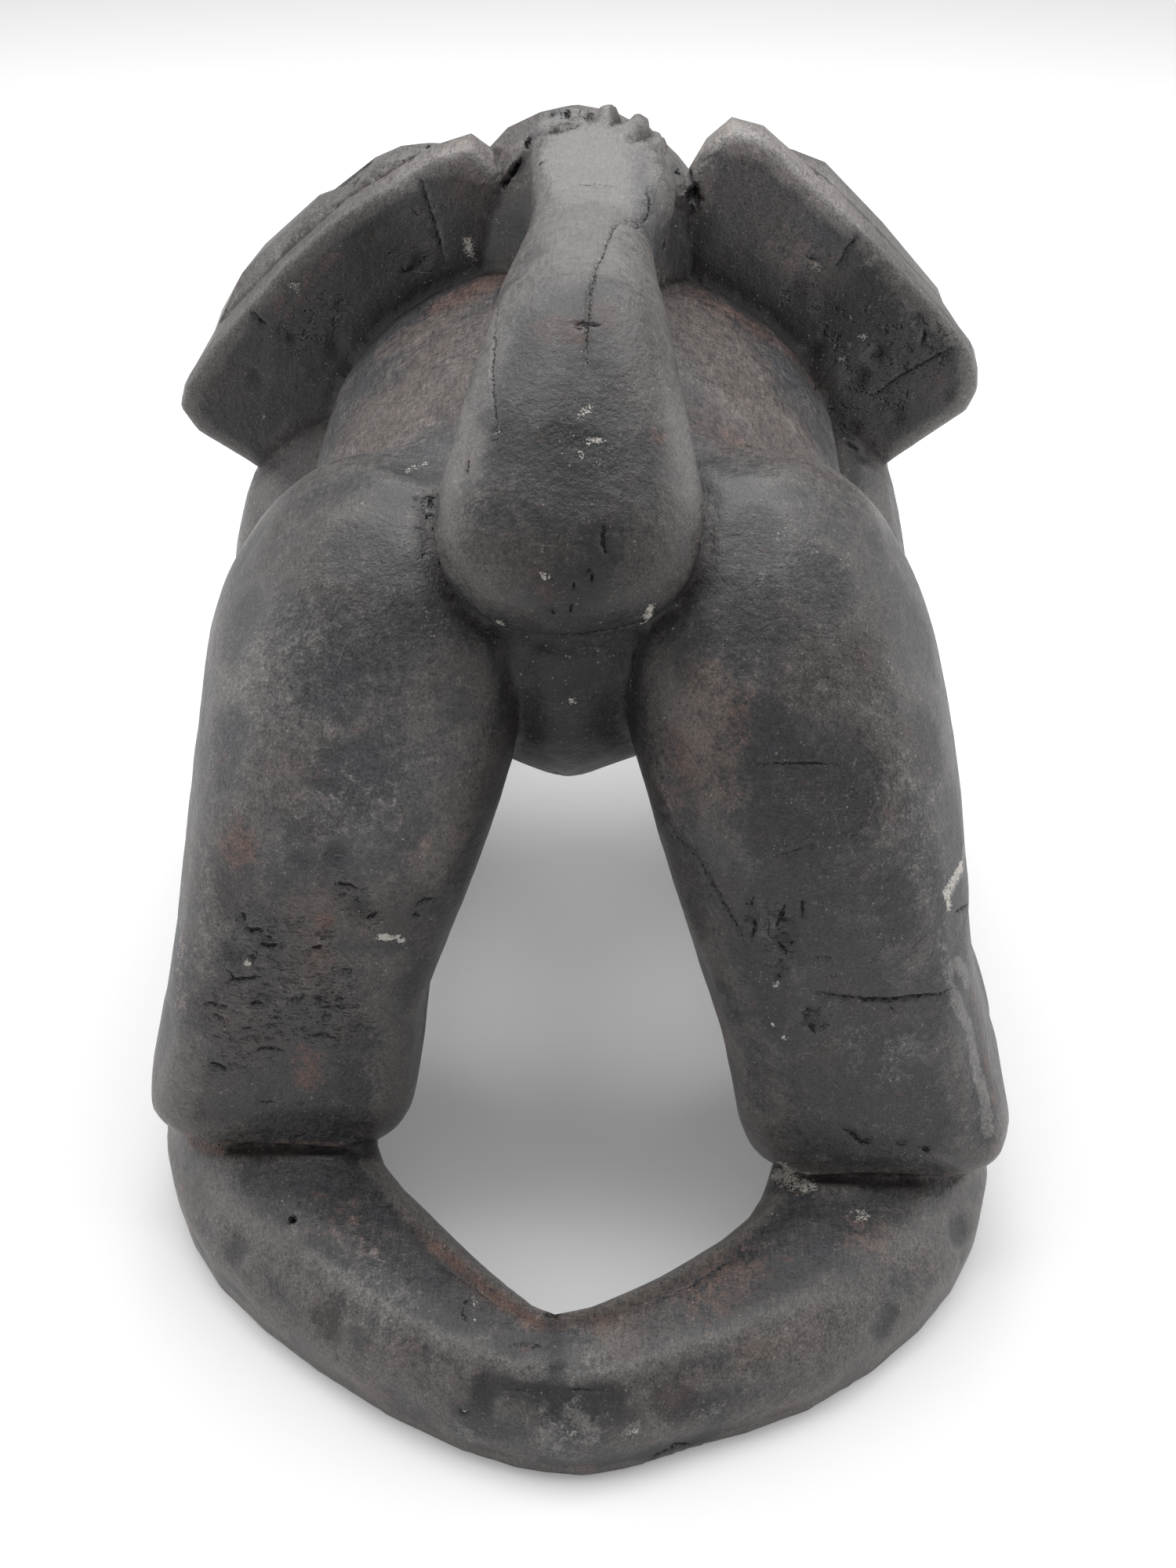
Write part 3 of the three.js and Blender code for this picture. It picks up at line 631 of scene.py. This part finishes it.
        ([(1040, 1300)], 7, 1.0), ([(990, 1010), (1080, 1010)], 9, 0.9),
        ([(1020, 380), (1060, 430)], 14, 0.8), ([(1100, 440), (1180, 450)], 18, 1.0),
        ([(1090, 520), (1140, 510)], 16, 1.0), ([(500, 330), (540, 330)], 9, 0.8),
        ([(380, 430), (430, 380)], 12, 0.8), ([(450, 510), (440, 560)], 7, 0.7),
        ([(830, 420), (850, 500)], 6, 0.6), ([(612, 430), (600, 560)], 5, 0.5),
        ([(549, 640), (556, 720)], 7, 1.1), ([(900, 650), (890, 720)], 6, 1.0),
        ([(300, 1450), (470, 1450)], 4, 0.8), ([(1100, 1500), (1220, 1495)], 4, 0.8),
    ],
    "scuffed": [
        ([(1105, 1086), (1147, 1061)], 8, 1.0), ([(1139, 1400), (1197, 1430)], 9, 0.8),
        ([(744, 530), (765, 570)], 9, 1.0), ([(955, 270), (962, 310)], 6, 1.0),
        ([(350, 1290), (440, 1260)], 12, 0.7), ([(1060, 1010), (1180, 1000)], 10, 0.7),
        ([(520, 700), (500, 800)], 12, 0.7), ([(1000, 700), (1100, 900)], 20, 0.5),
        ([(400, 800), (360, 1000)], 20, 0.5), ([(1150, 1480), (1240, 1460)], 6, 0.7),
    ],
}
SMALL_MARK = 5.5 * MM  # the skin isn't thinned out round marks that reach less than this
MARK_STRIDE = 3  # millimetres of reach for each place of a mark's course that is passed over


class Mark:
    """A mark's places on the wood, its reach and its strength."""

    def __init__(self, points, reach, strength):
        course = trail(points) if len(points) > 1 else [seen_on(surface, *points[0])]
        self.places = [place for place in course if place][:: max(1, round(reach / MARK_STRIDE))]
        self.reach = reach * MM
        self.strength = strength


marks = {kind: [Mark(*mark) for mark in courses] for kind, courses in MARKS.items()}
small_marks = [mark for kind in marks.values() for mark in kind if mark.reach < SMALL_MARK]
small = tree_of([place for mark in small_marks for place in mark.places])

# The fine skin follows the broad one, and the solid itself near a hard edge and on the tuft. Its
# vertices that bridge a corner lie off the solid and are drawn into the corner.
CORNER_GAP = (0.15 * MM, 0.6 * MM)
CORNER_REACH = (2.5 * MM, 5.0 * MM)
ARRIS_REACH = 0.8 * MM
CRISP_REACH = (4.0 * MM, 9.0 * MM)
TUFT_REACH = (12 * MM, 18 * MM)
tuft_tree = tree_of([place for points, _, _ in CUTS_AND_SHADOW_LINES["tuft"] for place in trail(points)])
fine = Skin(even_skin(FINE_SKIN))
hard = np.minimum(fine.distance(ridges.tree), fine.distance(valleys.tree))
off_tuft = soft_step(*TUFT_REACH, fine.distance(tuft_tree))
crisp = 1 - soft_step(*CRISP_REACH, hard) * off_tuft
fine.relax(0.5 * (1 - crisp), 2)
fine.relax(0.3, 1)
for index, spot in enumerate(fine.place):
    share = float(crisp[index, 0])
    place = Vector(spot)
    laid = surface.find_nearest(place)[0] if share < 1 else place
    if share > 0:
        nearest, _, _, gap = solid_surface.find_nearest(place)
        away = float(hard[index, 0])
        draw = float(soft_step(*CORNER_GAP, gap) * (1 - soft_step(*CORNER_REACH, away)))
        draw = 1.0 if away < ARRIS_REACH else draw
        nearer = ridges if ridges.away(place) < valleys.away(place) else valleys
        laid = laid.lerp(nearest.lerp(nearer.foot(place), draw), share)
    fine.place[index] = laid
fine.relax(0.1, 1)

# Handling has worn the edges round, and most of all the ears' top corners.
EDGE_WEAR = 0.35
EDGE_REACH = (2.5 * MM, 5.5 * MM)
VALLEY_REACH = (2.5 * MM, 5.0 * MM)
EAR_CORNERS = ((597, 180), (936, 158), (905, 176))
EAR_REACH = (8 * MM, 16 * MM)
EAR_PASSES = 16
edge_wear = 1 - soft_step(*EDGE_REACH, fine.distance(ridges.tree))
edge_wear *= soft_step(*VALLEY_REACH, fine.distance(valleys.tree))
fine.relax(EDGE_WEAR * edge_wear, 3)
ear_corners = tree_of([place for place in (seen_on(surface, *pixel) for pixel in EAR_CORNERS) if place])
fine.relax(0.5 * (1 - soft_step(*EAR_REACH, fine.distance(ear_corners))), EAR_PASSES)
pull_strands(fine)
fine.relax(0.35 * (1 - off_tuft), 2)

SCOOP_RAGGED = 0.35
SCOOP_WAVE = 7 * MM
fine_normals = fine.normals()
ragged = SCOOP_RAGGED * fine.noise(SCOOP_WAVE, 21.5)[:, 0]
for pixel, reach, depth in SCOOPS:
    centre = seen_on(surface, *pixel)
    if centre:
        away = np.linalg.norm(fine.place - np.array(centre), axis=1) / (reach * MM) + ragged
        fine.place -= fine_normals * depth * MM * (np.clip(1 - away**2, 0, 1) ** 2)[:, None]
fine.store()

# The skin is thinned out again, most on the hidden side and not at all round cuts and small marks.
KEPT_TRIANGLES = 165000
KEPT_REACH = 5 * MM
SEEN_BACK = 120 * MM  # the camera sees little beyond this
SEEN_SPARE = 0.6
SPLIT_REACH = 2.0 * MM  # round a cut the skin is split once more
SPLIT_GAPE = 1.3
carving.data = fine.mesh
spare = carving.vertex_groups.new(name="spare")
for index, place in enumerate(fine.place):
    is_marked = min(cut_tree.find(place)[2], small.find(place)[2]) < KEPT_REACH
    is_seen = place[1] < SEEN_BACK
    spare.add([index], 0.0 if is_marked else SEEN_SPARE if is_seen else 1.0, "REPLACE")
thinning = carving.modifiers.new("thinning", "DECIMATE")
thinning.ratio = min(1.0, KEPT_TRIANGLES / (2 * len(fine.mesh.polygons)))
thinning.vertex_group = "spare"
cut_mesh = bmesh.new()
cut_mesh.from_mesh(worked_mesh())
carving.vertex_groups.clear()
near = set()
for vert in cut_mesh.verts:
    _, which, away = cut_tree.find(vert.co)
    if away < SPLIT_REACH + SPLIT_GAPE * cuts.gape[which]:
        near.add(vert)
split = [edge for edge in cut_mesh.edges if edge.verts[0] in near and edge.verts[1] in near]
bmesh.ops.subdivide_edges(cut_mesh, edges=split, cuts=1, use_grid_fill=True)
bmesh.ops.triangulate(cut_mesh, faces=[face for face in cut_mesh.faces if len(face.verts) > 4])
cut_mesh.to_mesh(mesh)
cut_mesh.free()

# Each cut is sunk into the wood, and the way to the nearest one is kept for the stain.
CUT_REACH = 6 * MM
CUT_SPREAD = 1.6  # of half the gape
CUT_LEAST = 0.9 * MM
NO_CUT = 50.0  # millimetres away
NO_GAPE = 0.1  # millimetres
wood = Skin(mesh)
wood.place[:, 2] = np.maximum(wood.place[:, 2], 0)
ridge_away = wood.distance(ridges.tree)
valley_away = wood.distance(valleys.tree)
normals = wood.normals()
off_cut = np.full_like(wood.place, NO_CUT)
cut_gape = np.full(len(wood.place), NO_GAPE)
sink = np.zeros((len(wood.place), 1))
for index, place in enumerate(wood.place):
    nearest, which, away = cut_tree.find(place)
    if away < CUT_REACH:
        offset = Vector(place) - nearest
        if not cuts.is_end[which]:
            offset -= offset.dot(cuts.along[which]) * cuts.along[which]
        off_cut[index] = offset / MM
        cut_gape[index] = cuts.gape[which] / MM
        spread = max(CUT_SPREAD * cuts.gape[which], CUT_LEAST)
        sink[index] = cuts.depth[which] * max(0.0, 1 - offset.length / spread)
wood.place -= normals * sink
wood.store()

MARK_FADE = (0.3, 1.6)  # shares of a mark's reach where it starts to fade and where it is gone
wood_places = tree_of(list(wood.place))
mark_strength = {}
for kind, laid in marks.items():
    strength = np.zeros(len(wood.place))
    for mark in laid:
        for spot in mark.places:
            for _, index, away in wood_places.find_range(spot, MARK_FADE[1] * mark.reach):
                fade = 1 - float(soft_step(*MARK_FADE, away / mark.reach))
                strength[index] = max(strength[index], mark.strength * fade)
    mark_strength[kind] = strength

# Where the wood bulges past its mean, for the stain to wear thin there.
BULGE_PASSES = 10
broad = wood.place.copy()
for _ in range(BULGE_PASSES):
    broad = wood.neighbour_mean(broad)
bulge = ((wood.place - broad) * normals).sum(1) / MM
carving.data = mesh


def keep(name, kind, key, values):
    """Keeps a value for each vertex, for the stain to read."""
    mesh.attributes.new(name, kind, "POINT").data.foreach_set(key, values.astype(np.float32).ravel())


kept = {"cut_gape": cut_gape, "bulge": bulge, "end_grain": np.abs(normals[:, 1])}
kept |= {"ridge": ridge_away / MM, "valley": valley_away / MM}
keep("off_cut", "FLOAT_VECTOR", "vector", off_cut)
for kind, values in (kept | mark_strength).items():
    keep(kind, "FLOAT", "value", values)
for polygon in mesh.polygons:
    polygon.use_smooth = True


class Shade:
    """A number that varies over the wood: a socket that takes part in sums."""

    def __init__(self, stain, socket):
        self.stain = stain
        self.socket = socket

    def sum(self, operation, first, second):
        return self.stain.node("ShaderNodeMath", {"operation": operation}, {0: first, 1: second})

    def __add__(self, other):
        return self.sum("ADD", self, other)

    def __sub__(self, other):
        return self.sum("SUBTRACT", self, other)

    def __mul__(self, other):
        return self.sum("MULTIPLY", self, other)

    def __truediv__(self, other):
        return self.sum("DIVIDE", self, other)

    def __radd__(self, other):
        return self.sum("ADD", other, self)

    def __rsub__(self, other):
        return self.sum("SUBTRACT", other, self)

    def __rmul__(self, other):
        return self.sum("MULTIPLY", other, self)


class Stain:
    """The nodes of a finish on the wood."""

    def __init__(self, name):
        self.material = bpy.data.materials.new(name)
        self.material.use_nodes = True
        self.tree = self.material.node_tree
        self.shader = self.tree.nodes["Principled BSDF"]

    def node(self, kind, settings, sockets, output=0):
        """Adds a node with its settings and the values or links of its sockets."""
        node = self.tree.nodes.new(kind)
        for key, value in settings.items():
            setattr(node, key, value)
        self.fill(node, sockets)
        return Shade(self, node.outputs[output])

    def fill(self, node, sockets):
        for key, value in sockets.items():
            if isinstance(value, Shade):
                self.tree.links.new(value.socket, node.inputs[key])
            else:
                node.inputs[key].default_value = value

    def rise(self, value, low, high):
        """0 below low, 1 above high and a smooth rise between."""
        settings = {"interpolation_type": "SMOOTHSTEP"}
        return self.node("ShaderNodeMapRange", settings, {0: value, 1: low, 2: high, 3: 0.0, 4: 1.0})

    def mix(self, share, first, second):
        """Blends two colours."""
        return self.node("ShaderNodeMix", {"data_type": "RGBA"}, {0: share, 6: first, 7: second}, 2)

    def read(self, name, output=2):
        """A value kept for each vertex."""
        return self.node("ShaderNodeAttribute", {"attribute_name": name}, {}, output)

    def spot(self, sizes, turn, shift):
        """The place on the wood, measured in waves of the given sizes in millimetres."""
        if isinstance(sizes, (int, float)):
            sizes = (sizes, sizes, sizes)
        place = self.node("ShaderNodeTexCoord", {}, {}, 3)
        start = (shift, shift * 0.7, shift * 1.3)
        scale = [each * MM for each in sizes]
        sockets = {0: place, 1: start, 2: turn, 3: scale}
        return self.node("ShaderNodeMapping", {"vector_type": "TEXTURE"}, sockets)

    def grain(self, sizes, turn=(0, 0, 0), detail=4.0, rough=0.55, shift=0.0, output=0):
        """Noise of 0 to 1 whose waves are about the given sizes."""
        sockets = {"Vector": self.spot(sizes, turn, shift), "Scale": 1.0}
        sockets |= {"Detail": detail, "Roughness": rough}
        return self.node("ShaderNodeTexNoise", {}, sockets, output)

    def vector_sum(self, operation, sockets, output=0):
        return self.node("ShaderNodeVectorMath", {"operation": operation}, sockets, output)


# The stain at its darkest, and also painted shade where soot lies and at the lips of cuts:
INK_AND_SHADE = (0.021, 0.022, 0.024, 1)  # the stain at its darkest
SLATE = (0.0556, 0.0560, 0.0608, 1)  # rubbed stain, a cold grey
EARTH = (0.081, 0.0665, 0.0635, 1)  # brown wood showing through thin stain
# Also painted sheen on the tops that face the light:
PALE_AND_SHEEN = (0.221, 0.208, 0.199, 1)  # stain polished and worn thin by hands
WORN = (0.165, 0.15, 0.14, 1)  # the ridges between flats
RUBBED = (0.16, 0.155, 0.15, 1)  # the edges
RUST = (0.150, 0.089, 0.072, 1)
LOAM = (0.112, 0.091, 0.081, 1)
CHALK = (0.56, 0.53, 0.48, 1)
ASH_AND_LIGHT = (0.255, 0.244, 0.235, 1)
DUST = (0.34, 0.32, 0.29, 1)
SCRATCH = (0.26, 0.26, 0.25, 1)
# Painted shade and dirt, nearly black, along the creases:
GRIME_AND_SHADE = (0.009, 0.007, 0.006, 1)  # in the creases
PITCH = (0.004, 0.004, 0.004, 1)

stain = Stain("dark_stained_wood")
end_grain = stain.rise(stain.read("end_grain"), 0.45, 0.85)
broad_tone = stain.grain(50, detail=3.0)
patch_tone = stain.grain(17, detail=3.0, rough=0.6, shift=2.0)
middle_tone = stain.grain(7, detail=3.0, rough=0.65, shift=3.0)
fine_tone = stain.grain(2.6, detail=2.0, rough=0.7, shift=4.0)
grit = stain.grain(0.8, detail=2.0, rough=0.8, shift=5.0)
fibre = stain.grain((1.0, 16, 1.0), detail=2.0, rough=0.6, shift=1.0)
pores = stain.rise(stain.grain((1.0, 6, 1.0), detail=1.0, shift=6.0), 0.60, 0.72)
dashes = stain.rise(stain.grain((3.2, 1.5, 0.9), detail=2.0, rough=0.7, shift=7.0), 0.60, 0.68)
hacks = stain.grain((5.5, 5.5, 4.0), detail=2.0, rough=0.6, shift=8.0)

valley = stain.read("valley")
ridge = stain.read("ridge")
bulge_shade = stain.read("bulge")
pitted = stain.read("pitted")
scuffed = stain.read("scuffed")


def scratch(length, turn, shift):
    """Pale hairlines of a length in millimetres."""
    line = stain.grain((0.55, length, 0.55), turn, 1.0, 0.5, shift)
    return stain.rise(line, 0.66, 0.76)


hairlines = scratch(14, (0.2, 0.0, 0.5), 11.0) + scratch(11, (0.9, 0.0, -0.6), 12.0)
hairlines = hairlines + scratch(9, (0.0, 0.4, 1.5), 13.0)
hairlines = hairlines * stain.rise(patch_tone + 0.35 * scuffed, 0.48, 0.64)


def flecks(spacing, share, radius, shift):
    """Round flecks, on a share of the cells that the wood is parted into."""
    cells = {"Vector": stain.spot(spacing, (0, 0, 0), shift), "Scale": 1.0}
    away = stain.node("ShaderNodeTexVoronoi", {}, cells, 0)
    cell_colour = stain.node("ShaderNodeTexVoronoi", {}, cells, 1)
    draw = stain.node("ShaderNodeSeparateColor", {}, {0: cell_colour}, 0)
    return (1 - stain.rise(away, 0.5 * radius, radius)) * stain.rise(draw, 1 - share, 1.001 - share)


dust = flecks(spacing=2.8, share=0.16, radius=0.19, shift=21.0)
dust = dust + flecks(spacing=1.2, share=0.15, radius=0.27, shift=22.0)
pinholes = flecks(spacing=1.8, share=0.22, radius=0.17, shift=31.0)

# A cut is drawn at its place with an edge that noise makes ragged.
JAG_WAVE = 1.9  # millimetres
JAG_REACH = 2.2
jag_noise = stain.grain(JAG_WAVE, detail=1.0, output=1)
jag = stain.vector_sum("SUBTRACT", {0: jag_noise, 1: (0.5, 0.5, 0.5)})
jag = stain.vector_sum("SCALE", {0: jag, "Scale": JAG_REACH})
off_cut_here = stain.vector_sum("ADD", {0: stain.read("off_cut", 1), 1: jag})
cut_away = stain.vector_sum("LENGTH", {0: off_cut_here}, 1)
cut = 1 - stain.rise(cut_away / (stain.read("cut_gape") + 0.05), 0.55, 1.25)
# Painted shade on the lips of each cut.
cut_lip = 1 - stain.rise(cut_away / (stain.read("cut_gape") + 0.25), 0.6, 2.0)

# Everything that varies from place to place is centred on 0, to add to an edge or to a tone.
middle_sway = middle_tone - 0.5
fine_sway = fine_tone - 0.5
grit_sway = grit - 0.5
patch_sway = patch_tone - 0.5
rubbed = 1 - stain.rise(ridge + 6.0 * middle_sway + 4.0 * fine_sway, 0.4, 4.2)
worn = stain.rise(bulge_shade + 0.7 * middle_sway + 0.5 * fine_sway, 0.20, 1.2)
checks = dashes * stain.rise(pitted + 0.9 * middle_sway, 0.30, 0.75)
dents = stain.rise(hacks, 0.56, 0.70) * stain.rise(pitted + 0.6 * middle_sway, 0.35, 0.9)


def broken(kind, low, high, grit_share=1.0):
    """A mark with an edge that the wood's own texture breaks up."""
    return stain.rise(stain.read(kind) + grit_share * (middle_sway + fine_sway + 0.6 * grit_sway), low, high)


# Painted shade and dirt along the creases, nearly black where shade falls into them, with a ragged edge.
crease_shade_and_grime = 1 - stain.rise(valley + 6.0 * fine_sway + 9.0 * middle_sway + 2.5 * grit_sway, 0.5, 4.4)
near_crease = 1 - stain.rise(valley + 12.0 * middle_sway, 2.0, 11.0)
litter_here = stain.rise(near_crease + stain.read("soot_and_shade") + 1.2 * patch_sway, 0.5, 1.1)
litter = flecks(spacing=2.3, share=0.22, radius=0.21, shift=24.0) * litter_here

calm = 1 - 0.5 * stain.read("polish_and_sheen")
tone = 0.86 + (0.8 * fine_sway + 1.9 * grit_sway + 0.6 * middle_sway + 1.0 * (fibre - 0.5)) * calm
# Painted shade darkens the tone and painted light lightens it.
tone = tone * (1 - 0.42 * stain.read("painted_shade") + 0.55 * stain.read("painted_light"))
rust_here = stain.rise(stain.grain(9, detail=3.0, rough=0.7, shift=9.0), 0.60, 0.74)
dust_here = stain.rise(middle_tone + 0.7 * patch_sway, 0.36, 0.62)
crumbs = stain.rise(stain.read("chalk") + 1.6 * fine_sway + 2.8 * grit_sway, 0.82, 1.04)
colour = stain.mix(stain.rise(broad_tone + 0.6 * patch_sway, 0.44, 0.78), SLATE, EARTH)
colour = stain.mix(0.38 * stain.rise(patch_tone, 0.50, 0.74), colour, INK_AND_SHADE)
colour = stain.mix(0.50 * near_crease, colour, LOAM)
colour = stain.mix(0.80 * broken("loam", 0.15, 0.95), colour, LOAM)
colour = stain.mix(0.80 * broken("rust", 0.22, 0.95, 1.4), colour, RUST)
colour = stain.mix(0.42 * rust_here, colour, RUST)
# Polish, and painted sheen on the tail's neck and other tops that face the light.
colour = stain.mix(0.80 * broken("polish_and_sheen", 0.05, 1.0, 0.5), colour, PALE_AND_SHEEN)
# Soot, and painted shade where shade falls in the groin, the recesses and under the tail.
colour = stain.mix(0.75 * broken("soot_and_shade", 0.15, 1.25, 1.5), colour, INK_AND_SHADE)
colour = stain.mix(0.60 * worn, colour, WORN)
colour = stain.mix(0.42 * rubbed, colour, RUBBED)
# Grey film, and painted light where the wood faces the light.
colour = stain.mix(0.60 * broken("ash_and_light", 0.25, 1.25, 1.6), colour, ASH_AND_LIGHT)
colour = stain.vector_sum("SCALE", {0: colour, "Scale": tone})
colour = stain.mix(0.55 * pores * (1 - end_grain) * calm * calm, colour, INK_AND_SHADE)
colour = stain.mix(0.75 * checks + 0.35 * dents, colour, PITCH)
colour = stain.mix(0.70 * pinholes, colour, PITCH)
colour = stain.mix(0.34 * hairlines, colour, SCRATCH)
colour = stain.mix(0.60 * dust * dust_here, colour, DUST)
colour = stain.mix(0.75 * litter, colour, DUST)
colour = stain.mix(0.85 * crease_shade_and_grime, colour, GRIME_AND_SHADE)
colour = stain.mix(0.9 * crumbs, colour, CHALK)
colour = stain.mix(0.30 * cut_lip, colour, INK_AND_SHADE)
colour = stain.mix(cut, colour, PITCH)

height = calm * (0.12 * fibre + 0.16 * grit + 0.20 * fine_tone + 0.75 * middle_tone)
height = height - 0.45 * checks - 0.8 * dents - 0.7 * cut
bump = stain.node("ShaderNodeBump", {}, {"Strength": 1.0, "Distance": MM, "Height": height})
roughness = 0.48 + 0.3 * middle_sway + 0.4 * fine_sway - 0.08 * worn - 0.08 * stain.read("polish_and_sheen")
stain.fill(stain.shader, {"Base Color": colour, "Roughness": roughness, "Normal": bump})
mesh.materials.clear()
mesh.materials.append(stain.material)

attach(carving, "root")
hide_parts("elephant_on_ring")

# The studio: a pale floor that runs on out of sight, a broad light above and beyond the elephant,
# a weaker one on either side, and white all round.
FLOOR_REACH = 6.0
floor_shape = bmesh.new()
bmesh.ops.create_grid(floor_shape, x_segments=1, y_segments=1, size=FLOOR_REACH)
floor_mesh = bpy.data.meshes.new("floor")
floor_shape.to_mesh(floor_mesh)
floor_shape.free()
floor = bpy.data.objects.new("floor", floor_mesh)
bpy.context.scene.collection.objects.link(floor)
floor_paint = bpy.data.materials.new("pale_floor")
floor_paint.use_nodes = True
FLOOR_LOOK = {
    "Base Color": (0.86, 0.86, 0.86, 1),
    "Roughness": 0.9,
    "Emission Color": (1, 1, 1, 1),
    "Emission Strength": 0.12,
}
for key, value in FLOOR_LOOK.items():
    floor_paint.node_tree.nodes["Principled BSDF"].inputs[key].default_value = value
floor_mesh.materials.append(floor_paint)


def softbox(name, place, aim, size, power):
    """A square light that shines from a place towards another."""
    light_data = bpy.data.lights.new(name, "AREA")
    light_data.size = size
    light_data.energy = power
    light = bpy.data.objects.new(name, light_data)
    light.location = place
    light.rotation_euler = (Vector(aim) - Vector(place)).to_track_quat("-Z", "Y").to_euler()
    bpy.context.scene.collection.objects.link(light)


softbox("light_above", place=(0.0, 0.5, 1.7), aim=(0, 0, 0.2), size=1.8, power=33)
softbox("light_left", place=(-1.7, 0.3, 0.9), aim=(0, 0, 0.15), size=1.6, power=13)
softbox("light_right", place=(1.7, 0.3, 0.9), aim=(0, 0, 0.15), size=1.6, power=13)

WORLD_LIGHT = 0.36
world = bpy.data.worlds.new("studio")
world.use_nodes = True
world.node_tree.nodes["Background"].inputs["Color"].default_value = (1, 1, 1, 1)
world.node_tree.nodes["Background"].inputs["Strength"].default_value = WORLD_LIGHT
bpy.context.scene.world = world
bpy.context.scene.view_settings.view_transform = "Standard"
